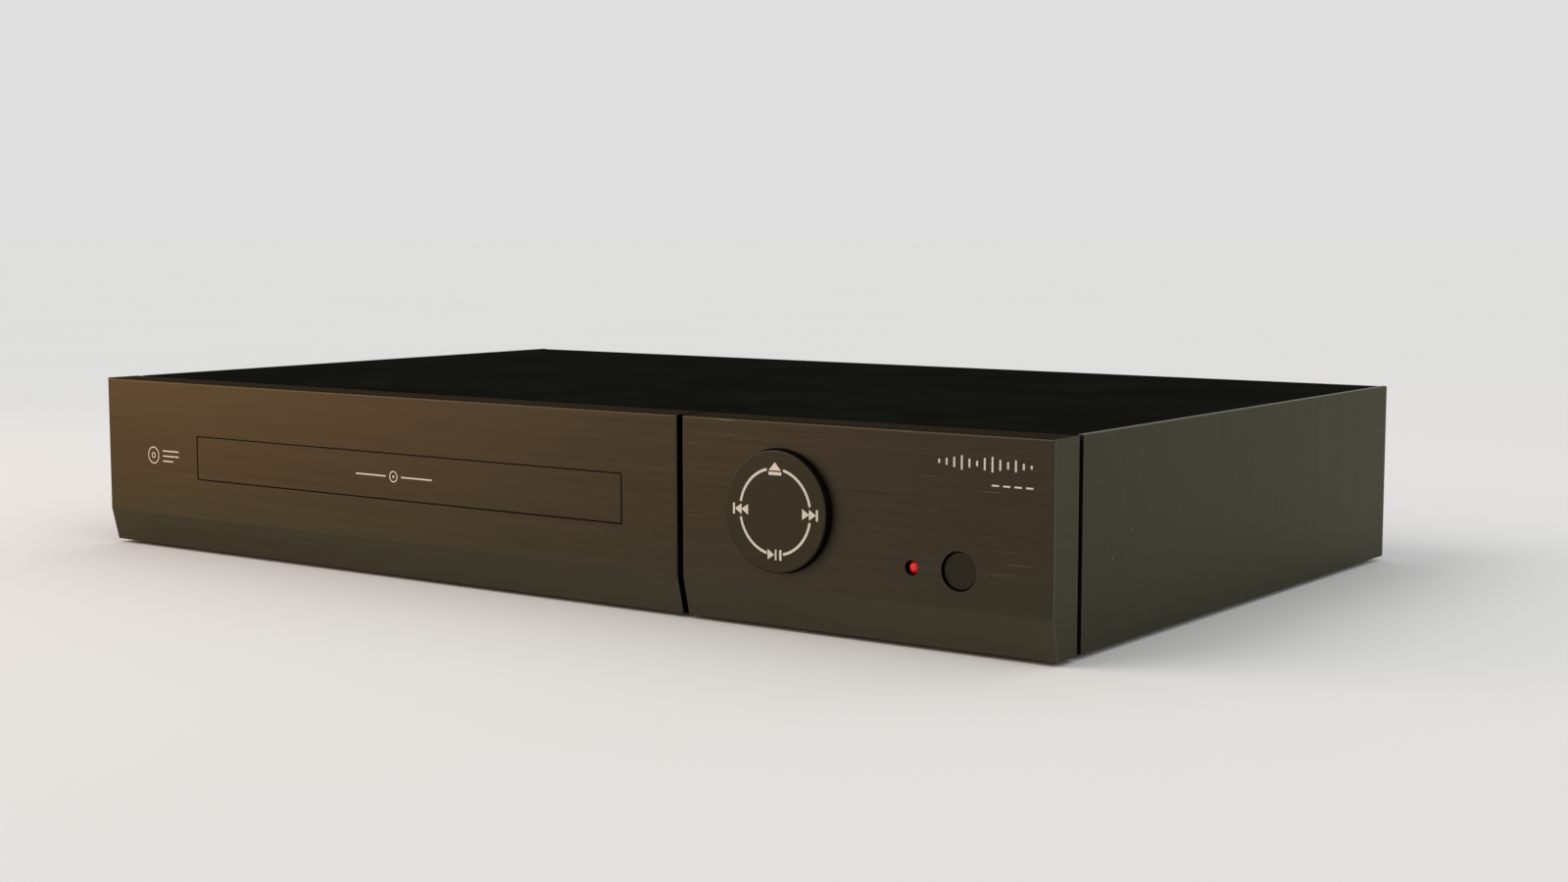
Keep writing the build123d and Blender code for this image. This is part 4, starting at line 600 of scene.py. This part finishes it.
def transformer_paint():
    """Grey ferrite. The winding shows at both ends of the core, under yellow tape."""
    low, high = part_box("power_transformer")
    tape = Paint("ferrite_core", Roughness=0.5)
    place = tape.axes(tape.place())
    off_x, off_y = (
        tape.math("ABSOLUTE", tape.math("SUBTRACT", place[axis], middle))
        for axis, middle in (("X", (low.x + high.x) / 2), ("Y", (low.y + high.y) / 2))
    )
    wound = tape.math(
        "MULTIPLY",
        tape.math("LESS_THAN", off_x, WOUND_HALF_WIDTH),
        tape.math("GREATER_THAN", off_y, CORE_HALF_DEPTH),
    )
    layers = tape.noise((60, 60, 1800), detail=2.0)
    grain = tape.noise((1500, 1500, 1500), detail=2.0)
    yellow = tape.ramp(layers, (0.4, (0.52, 0.36, 0.03)), (0.6, (0.66, 0.48, 0.05)))
    grey = tape.ramp(grain, (0.4, (0.04, 0.04, 0.042)), (0.6, (0.06, 0.06, 0.063)))
    tape.colour(tape.mix(wound, grey, yellow))
    tape.bump(grain, 0.00004, 0.4)
    return tape.material


paints["jack_core"] = core_paint()
paints["ferrite_core"] = transformer_paint()

slots = {s["node"]: s["material_slot"] for s in frame["record"]["subparts"]}
for name, obj in nodes.items():
    dress(obj, paints[slots[name]])

# The power button is a shade darker than the pad.
dress(nodes["power_button"], brushed("button_face", BUTTON, **CONTROL_LOOK))

# ---- Printed ring and transport symbols on the pad ----

RING_SHIFT, RING_RADIUS, RING_HALF = mm(0.1), mm(13.46), mm(0.42)
# Each symbol breaks the ring: its angle and half of its gap, in degrees.
RING_GAPS = ((0, 10.5), (90, 13.5), (180, 10.5), (270, 13.5), (360, 10.5))

ring_x = pad_x + RING_SHIFT
ring_top, ring_bottom = pad_z + RING_RADIUS, pad_z - RING_RADIUS
pad_ink = (pad_face - INK_OUT, pad_face + INK_IN)

marks = Shape()
for (at, half), (then, then_half) in zip(RING_GAPS, RING_GAPS[1:]):
    marks.band(
        ring_x, pad_z, RING_RADIUS - RING_HALF, RING_RADIUS + RING_HALF, *pad_ink,
        at + half, then - then_half,
    )
symbols = [
    triangle(ring_x, ring_top + mm(0.75), mm(4.7), mm(2.6), "up"),
    bar(ring_x, ring_top - mm(1.5), mm(4.9), mm(1.0)),
    triangle(ring_x - mm(1.55), ring_bottom, mm(2.5), mm(3.3), "right"),
    bar(ring_x + mm(0.3), ring_bottom, mm(0.62), mm(3.3)),
    bar(ring_x + mm(2.1), ring_bottom, mm(0.85), mm(3.3)),
]
for side, point in ((1, "right"), (-1, "left")):
    middle = ring_x + side * RING_RADIUS
    symbols += [
        triangle(middle - side * mm(1.75), pad_z, mm(2.6), mm(3.4), point),
        triangle(middle + side * mm(0.8), pad_z, mm(2.6), mm(3.4), point),
        bar(middle + side * mm(2.5), pad_z, mm(0.75), mm(3.5)),
    ]
for outline in symbols:
    marks.prism(outline, *pad_ink)
finish_piece(marks.piece("pad_print"), "pad")

# ---- Plain pictograms on the front: a disc, the tray's line and level ticks ----

STROKE, TICK = mm(0.5), mm(0.6)

front_ink = (front_y - INK_OUT, front_y + INK_IN)


def height(value):
    """Z of a place this many millimetres above the cabinet's underside."""
    return body_base + mm(value)


disc_x, disc_z = mm(-187.3), height(35.6)
disc_sign = Shape()
disc_sign.band(disc_x, disc_z, mm(2.95), mm(3.35), *front_ink)
disc_sign.band(disc_x, disc_z, mm(0.75), mm(1.15), *front_ink, steps=24)
for step, length in enumerate((9.5, 9.5, 6.0)):
    line_x, line_z = mm(-181.6 + length / 2), height(37.6 - 2.0 * step)
    disc_sign.prism(bar(line_x, line_z, mm(length), STROKE), *front_ink)
finish_piece(disc_sign.piece("disc_sign"), "cabinet")

tray_x, tray_z = -53.15, height(36.1)
tray_sign = Shape()
for side in (-1, 1):
    tray_sign.prism(bar(mm(tray_x + side * 11.6), tray_z, mm(15.4), STROKE), *front_ink)
tray_sign.band(mm(tray_x), tray_z, mm(1.65), mm(2.05), *front_ink)
tray_sign.band(mm(tray_x), tray_z, 0.0, mm(0.5), *front_ink, steps=16)
finish_piece(tray_sign.piece("tray_sign"), "tray")

level_sign = Shape()
tick_heights = (1.2, 2.0, 3.0, 4.2, 2.6, 1.6, 3.6, 4.5, 3.2, 2.2, 3.4, 1.8, 1.1)
for step, tall in enumerate(tick_heights):
    level_sign.prism(bar(mm(176.2 + 2.6 * step), height(56.4), TICK, mm(tall)), *front_ink)
for step in range(4):
    level_sign.prism(bar(mm(195.4 + 3.8 * step), height(50.3), mm(2.4), STROKE), *front_ink)
finish_piece(level_sign.piece("level_sign"), "cabinet")

# ---- Screws: rounded heads with a cross recess, and a thread ----

SIDES = 32
SHANK, THREAD, THREAD_DEPTH, TIP = mm(1.4), mm(0.6), 0.2, 0.8
ROWS_A_TURN, TIP_ROWS = 4, 3
CROWN, RECESS = mm(1.72), mm(0.95)
HEAD_ROOM = mm(1.8)  # the thickness of the plain heads that these stand for
CROSS, CROSS_FLOOR = (mm(1.35), mm(0.27)), (mm(1.0), mm(0.2))
# Radius and height of the head's rings, from the crown to the seat.
HEAD = (
    (mm(1.75), CROWN), (mm(2.25), mm(1.45)), (mm(2.55), mm(0.95)),
    (mm(2.7), mm(0.4)), (mm(2.7), 0.0), (SHANK, 0.0),
)


def circle(z, radii):
    """Points round the z axis, one for each radius."""
    angles = [math.radians(360 / SIDES * k) for k in range(SIDES)]
    return [(r * math.cos(a), r * math.sin(a), z) for r, a in zip(radii, angles)]


def screw_form(length):
    """Vertices and faces of one screw: its seat at the origin, its head along +z."""
    form = Shape()
    rings = [circle(z, [radius] * SIDES) for radius, z in HEAD]
    cross = [(x, y, CROWN) for x, y in cross_outline(*CROSS)]
    bm = bmesh.new()
    edges = []
    for loop in (rings[0], cross):
        corners = [bm.verts.new(point) for point in loop]
        edges += [bm.edges.new(pair) for pair in zip(corners, corners[1:] + corners[:1])]
    bmesh.ops.triangle_fill(bm, edges=edges, use_beauty=True)
    bm.verts.index_update()
    form.add([v.co[:] for v in bm.verts], [tuple(v.index for v in f.verts) for f in bm.faces])
    bm.free()
    foot = [(x, y, CROWN - RECESS) for x, y in cross_outline(*CROSS_FLOOR)]
    n = len(cross)
    form.add(cross + foot, tube_faces(0, n) + [tuple(range(n, 2 * n))])
    # The thread: its crest climbs as the angle turns, and it fades out at both ends.
    count = max(2, int(length / THREAD)) * ROWS_A_TURN
    for row in range(count + 1):
        fade = min(1.0, (count - row) / ROWS_A_TURN, row / 2)
        taper = 1.0 if row <= count - TIP_ROWS else TIP
        radii = []
        for k in range(SIDES):
            phase = (row / ROWS_A_TURN + k / SIDES) % 1.0
            lift = 1.0 - abs(2 * phase - 1)
            radii.append(SHANK * (1 - THREAD_DEPTH * (1 - lift) * fade) * taper)
        rings.append(circle(-length * row / count, radii))
    faces = []
    for number in range(len(rings) - 1):
        faces += tube_faces(SIDES * number, SIDES)
    verts = [point for ring in rings for point in ring]
    faces.append(tuple(range(len(verts) - SIDES, len(verts))))
    form.add(verts, faces)
    return form


def screw_set(node, facing, turn):
    """Real screws in place of a node of plain ones. Facing is the way that their heads look."""
    made = Shape()
    for number, (low, high) in enumerate(islands(node)):
        seat = (low + high) / 2
        if facing == "z":
            seat.z, run = high.z - HEAD_ROOM, high.z - low.z
        else:
            seat.y = high.y - HEAD_ROOM if facing == "y" else low.y + HEAD_ROOM
            run = high.y - low.y
        form = screw_form(run - HEAD_ROOM)
        angle = math.radians(turn + 37 * number)
        c, s = math.cos(angle), math.sin(angle)
        spun = [(x * c - y * s, x * s + y * c, z) for x, y, z in form.verts]
        aimed = [
            {"z": (x, y, z), "y": (x, z, y), "-y": (x, -z, y)}[facing] for x, y, z in spun
        ]
        made.add([seat + Vector(point) for point in aimed], form.faces)
    piece = finish_piece(crease(made.piece(node + "_threaded")), "cabinet", slots[node])
    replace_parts(piece, node)


screw_set("cover_screws", "y", 12)
screw_set("fascia_screws", "y", 20)
screw_set("key_board_screws", "-y", 33)
screw_set("board_screws", "z", 5)
screw_set("loader_screws", "z", 41)

# ---- Capacitors: crimped sleeves with a stripe, and scored metal tops ----

CAN_SIDES, STRIPE_STEPS, STRIPE_HALF = 36, 10, 14
SCORE_HALF = mm(0.09)


def arc_plate(form, cx, cy, inner, outer, start, stop, low, high):
    """A curved plate round an upright axis, from start to stop in degrees."""
    angles = [
        math.radians(start + (stop - start) * k / STRIPE_STEPS) for k in range(STRIPE_STEPS + 1)
    ]
    outline = [(cx + outer * math.cos(a), cy + outer * math.sin(a)) for a in angles]
    outline += [(cx + inner * math.cos(a), cy + inner * math.sin(a)) for a in reversed(angles)]
    form.prism(outline, low, high, axis="z")


sleeve, tops, stripes = Shape(), Shape(), Shape()
for node in ("board_capacitors", "filter_capacitors"):
    for number, (low, high) in enumerate(islands(node)):
        cx, cy = (low.x + high.x) / 2, (low.y + high.y) / 2
        r, h = (high.x - low.x) / 2, high.z - low.z
        sleeve.lathe(
            [
                (0, 0), (r * 0.9, 0), (r, mm(0.4)), (r, mm(1.3)), (r * 0.94, mm(1.8)),
                (r, mm(2.3)), (r, h - mm(0.7)), (r * 0.97, h - mm(0.2)), (r * 0.9, h),
                (r * 0.84, h), (r * 0.84, h - mm(0.35)), (0, h - mm(0.35)),
            ],
            (cx, cy, low.z), CAN_SIDES,
        )
        plate, lid = h - mm(0.5), h - mm(0.25)
        tops.lathe(
            [(0, plate), (r * 0.83, plate), (r * 0.83, lid), (0, lid)],
            (cx, cy, low.z), CAN_SIDES,
        )
        for k in range(3):
            angle = math.radians(60 * k + 25 * number)
            dx, dy = math.cos(angle), math.sin(angle)
            reach = r * 0.7
            outline = [
                (
                    cx + along * reach * dx - across * SCORE_HALF * dy,
                    cy + along * reach * dy + across * SCORE_HALF * dx,
                )
                for along, across in ((-1, -1), (1, -1), (1, 1), (-1, 1))
            ]
            tops.prism(outline, high.z - mm(0.26), high.z - mm(0.18), axis="z")
        middle = 40 * number
        arc_plate(
            stripes, cx, cy, r - mm(0.05), r + mm(0.04),
            middle - STRIPE_HALF, middle + STRIPE_HALF, low.z + mm(2.6), high.z - mm(0.9),
        )
piece = crease(sleeve.piece("capacitor_sleeves"))
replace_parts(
    finish_piece(piece, "cabinet", "capacitor_sleeve"), "board_capacitors", "filter_capacitors"
)
finish_piece(crease(tops.piece("capacitor_tops")), "cabinet", "bare_aluminium")
finish_piece(stripes.piece("capacitor_stripes"), "cabinet")

# ---- Chips: moulded bodies, gull-wing pins and a first-pin mark ----

PIN_INSET, PIN_MARGIN, PIN_PITCH, PIN_HALF = mm(0.9), mm(0.8), mm(0.8), mm(0.17)
DOT_PLACE, DOT_RADIUS = mm(1.9), mm(0.7)
TWO_SIDED = 1.3  # a chip wider than this many times its depth has pins along two sides only

chip_bodies, pins, spots = Shape(), Shape(), Shape()
for low, high in islands("board_chips"):
    cx, cy = (low.x + high.x) / 2, (low.y + high.y) / 2
    wide, long = (high.x - low.x) / 2, (high.y - low.y) / 2
    top, waist = high.z, low.z + (high.z - low.z) * 0.5
    layers = ((0.25, low.z + mm(0.1)), (0.0, waist), (0.3, top - mm(0.12)), (0.5, top))
    verts, faces = [], []
    for cut, z in layers:
        w, l = wide - PIN_INSET - mm(cut), long - PIN_INSET - mm(cut)
        verts += [(x, y, z) for x, y in bar(cx, cy, 2 * w, 2 * l)]
    for k in range(len(layers) - 1):
        faces += tube_faces(4 * k, 4)
    faces += [(0, 1, 2, 3), tuple(range(len(verts) - 4, len(verts)))]
    chip_bodies.add(verts, faces)
    sides = [(0, 1), (0, -1)]
    if wide <= long * TWO_SIDED:
        sides += [(1, 0), (-1, 0)]
    for ax, ay in sides:
        run, reach = (wide, long) if ay else (long, wide)
        profile = [
            (reach - PIN_INSET - mm(0.3), waist + mm(0.08)), (reach - mm(0.62), waist + mm(0.08)),
            (reach - mm(0.38), low.z + mm(0.16)), (reach, low.z + mm(0.16)),
            (reach, low.z), (reach - mm(0.5), low.z), (reach - mm(0.74), waist - mm(0.08)),
            (reach - PIN_INSET - mm(0.3), waist - mm(0.08)),
        ]
        if ay:
            outline, start, axis = [(cy + ay * out, z) for out, z in profile], cx, "x"
        else:
            outline, start, axis = [(cx + ax * out, z) for out, z in profile], cy, "y"
        count = int(2 * (run - PIN_INSET - PIN_MARGIN) / PIN_PITCH)
        for k in range(count + 1):
            at = (k - count / 2) * PIN_PITCH
            pins.prism(outline, start + at - PIN_HALF, start + at + PIN_HALF, axis)
    spots.lathe(
        [(0, -INK_IN), (DOT_RADIUS, -INK_IN), (DOT_RADIUS, INK_OUT), (0, INK_OUT)],
        (cx - wide + PIN_INSET + DOT_PLACE, cy - long + PIN_INSET + DOT_PLACE, top), 20,
    )
piece = finish_piece(chip_bodies.piece("chip_bodies"), "cabinet", "chip_black")
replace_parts(piece, "board_chips")
finish_piece(pins.piece("chip_pins"), "cabinet", "screw_steel")
finish_piece(spots.piece("chip_marks"), "cabinet")

# ---- Small parts on the boards, placed in rows between the large ones ----

PART_LONG, PART_SHORT, PART_RISE = mm(1.7), mm(0.9), mm(0.5)
CAP, CAP_IN, CAP_OVER, CAP_RISE = mm(0.3), mm(0.12), mm(0.04), mm(0.53)
SUNK = mm(0.02)
BOARD_EDGE, CLEARANCE, PITCH_X, PITCH_Y = mm(5), mm(2.4), mm(2.54), mm(3.81)
SOCKET, SOCKET_AHEAD = (mm(15), mm(4.6), mm(4.2)), mm(0.2)

taken = []
for node in (
    "board_chips", "board_capacitors", "filter_capacitors", "board_screws", "power_transformer",
    "heat_sink", "jack_block", "mains_inlet", "key_ribbon",
):
    taken += islands(node)
dice = np.random.default_rng(7)
small, ends, blocks = Shape(), Shape(), Shape()


def cuboid(form, x, y, z, w, l, h):
    """A block that stands on z."""
    form.prism(bar(x, y, w, l), z, z + h, axis="z")


def clear_of(x, y, margin):
    return all(
        x < low.x - margin or x > high.x + margin or y < low.y - margin or y > high.y + margin
        for low, high in taken
    )


def grid_place(low, high, pitch):
    """A random place on a grid between two edges of a board."""
    return low + BOARD_EDGE + round(dice.random() * (high - low - 2 * BOARD_EDGE) / pitch) * pitch


def scatter(board, wanted):
    """Small parts with two plated ends on free places of a board."""
    low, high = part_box(board)
    base = high.z - SUNK
    for _ in range(wanted * 3):
        if wanted == 0:
            break
        x = grid_place(low.x, high.x, PITCH_X)
        y = grid_place(low.y, high.y, PITCH_Y)
        if not clear_of(x, y, CLEARANCE):
            continue
        wanted -= 1
        along_x = dice.random() < 0.55
        w, l = (PART_LONG, PART_SHORT) if along_x else (PART_SHORT, PART_LONG)
        cuboid(small, x, y, base, w, l, PART_RISE)
        # The ends of a part that lies along y are as wide as the part is long.
        size = (CAP, l + CAP_OVER) if along_x else (l + CAP_OVER, CAP)
        for side in (-1, 1):
            dx = side * (w / 2 - CAP_IN) if along_x else 0.0
            dy = 0.0 if along_x else side * (l / 2 - CAP_IN)
            cuboid(ends, x + dx, y + dy, base, *size, CAP_RISE)
        taken.append((Vector((x - w / 2, y - l / 2, 0)), Vector((x + w / 2, y + l / 2, 0))))


scatter("main_board", 150)
scatter("power_board", 26)
low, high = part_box("key_ribbon")
cuboid(
    blocks, (low.x + high.x) / 2, high.y - SOCKET_AHEAD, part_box("main_board")[1].z - SUNK, *SOCKET
)
finish_piece(small.piece("board_parts"), "cabinet", "chip_black")
finish_piece(ends.piece("board_part_ends"), "cabinet", "screw_steel")
finish_piece(blocks.piece("ribbon_socket"), "cabinet", "ribbon_white")

# ---- Frames printed round the sockets on the rear panel ----

FRAME_SIDE, FRAME_BELOW, FRAME_RISE = mm(3.0), mm(2.4), mm(13.1)
FRAME_PITCH, FRAME_LINE = mm(14), mm(0.4)

sheet_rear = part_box("rear_panel")[1].y
rear_ink = (sheet_rear - INK_IN, sheet_rear + INK_OUT)
block_low, block_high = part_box("jack_sleeves")
x0, x1 = block_low.x - FRAME_SIDE, block_high.x + FRAME_SIDE
rear_print = Shape()
for row in (0, 1):
    z0 = block_low.z - FRAME_BELOW + row * FRAME_PITCH
    z1 = z0 + FRAME_RISE
    for at in (z0, z1):
        line = bar((x0 + x1) / 2, at, x1 - x0 + FRAME_LINE, FRAME_LINE)
        rear_print.prism(line, *rear_ink)
    for at in (x0, x1):
        line = bar(at, (z0 + z1) / 2, FRAME_LINE, z1 - z0 - FRAME_LINE)
        rear_print.prism(line, *rear_ink)
finish_piece(rear_print.piece("rear_print"), "cabinet")

# ---- Floor, light and camera ----

FLOOR_HALF = 14
CAMERA_PLACE, CAMERA_TILT, CAMERA_TURN = (0.51519, -0.67241, 0.12665), 84.37, 36.096

floor_paint = Paint("floor", Roughness=0.85)
patches = floor_paint.noise((3, 3, 3))
floor_paint.colour(
    floor_paint.ramp(patches, (0.3, (0.75, 0.75, 0.745)), (0.7, (0.76, 0.76, 0.755)))
)
corners = [(x, y, 0) for x, y in bar(0, 0, 2 * FLOOR_HALF, 2 * FLOOR_HALF)]
floor = mesh_object("floor", corners, [(0, 1, 2, 3)])
dress(floor, floor_paint.material)

# The camera, mirrors and glass see a somewhat brighter room than the one that lights the scene.
world = bpy.data.worlds.new("studio")
bpy.context.scene.world = world
world.use_nodes = True
sky = world.node_tree
backdrop = sky.nodes["Background"]
backdrop.inputs["Color"].default_value = (1.0, 1.0, 1.0, 1.0)
path = sky.nodes.new("ShaderNodeLightPath")
seen = path.outputs["Is Camera Ray"]
for ray in ("Is Glossy Ray", "Is Transmission Ray"):
    either = sky.nodes.new("ShaderNodeMath")
    either.operation = "MAXIMUM"
    sky.links.new(seen, either.inputs[0])
    sky.links.new(path.outputs[ray], either.inputs[1])
    seen = either.outputs[0]
level = sky.nodes.new("ShaderNodeMapRange")
sky.links.new(seen, level.inputs["Value"])
level.inputs["To Min"].default_value = 0.6
level.inputs["To Max"].default_value = 0.74
sky.links.new(level.outputs["Result"], backdrop.inputs["Strength"])


def lamp(name, kind, energy, colour, toward):
    """A lamp at the origin that shines towards a direction. Returns it and its light."""
    light = bpy.data.lights.new(name, kind)
    light.energy = energy
    light.color = colour
    made = add_to_scene(name, light)
    made.rotation_mode = "QUATERNION"
    made.rotation_quaternion = Vector(toward).to_track_quat("-Z", "Y")
    return made, light


for name, energy, width, colour, toward in (
    ("key", 1.0, 40, (1.0, 0.975, 0.94), (0.75, 0.85, -0.95)),
    ("fill", 0.55, 50, (0.96, 0.985, 1.0), (-1.0, 0.15, -0.7)),
    ("rim", 0.25, 50, (1.0, 1.0, 1.0), (-0.15, -1.0, -0.9)),
):
    lamp(name, "SUN", energy, colour, toward)[1].angle = math.radians(width)

# A warm panel far out on the left, which the left end of the front mirrors.
panel_place, panel_target = Vector((-1.3, -0.8, 0.3)), Vector((-0.1, -0.1, 0.05))
panel_lamp, panel = lamp(
    "panel", "AREA", 1.75, (1.0, 0.6, 0.34), panel_target - panel_place
)
panel_lamp.location = panel_place
panel.shape = "RECTANGLE"
panel.size, panel.size_y = 0.9, 0.55
panel.spread = math.radians(60)

camera = bpy.data.cameras.new("camera")
camera.lens = 50.0
camera.sensor_width = 36.0
camera.sensor_fit = "HORIZONTAL"
camera.clip_start, camera.clip_end = 0.01, 60.0
viewer = add_to_scene("camera", camera)
viewer.location = CAMERA_PLACE
viewer.rotation_euler = (math.radians(CAMERA_TILT), 0.0, math.radians(CAMERA_TURN))
bpy.context.scene.camera = viewer

bpy.context.scene.view_settings.view_transform = "Standard"
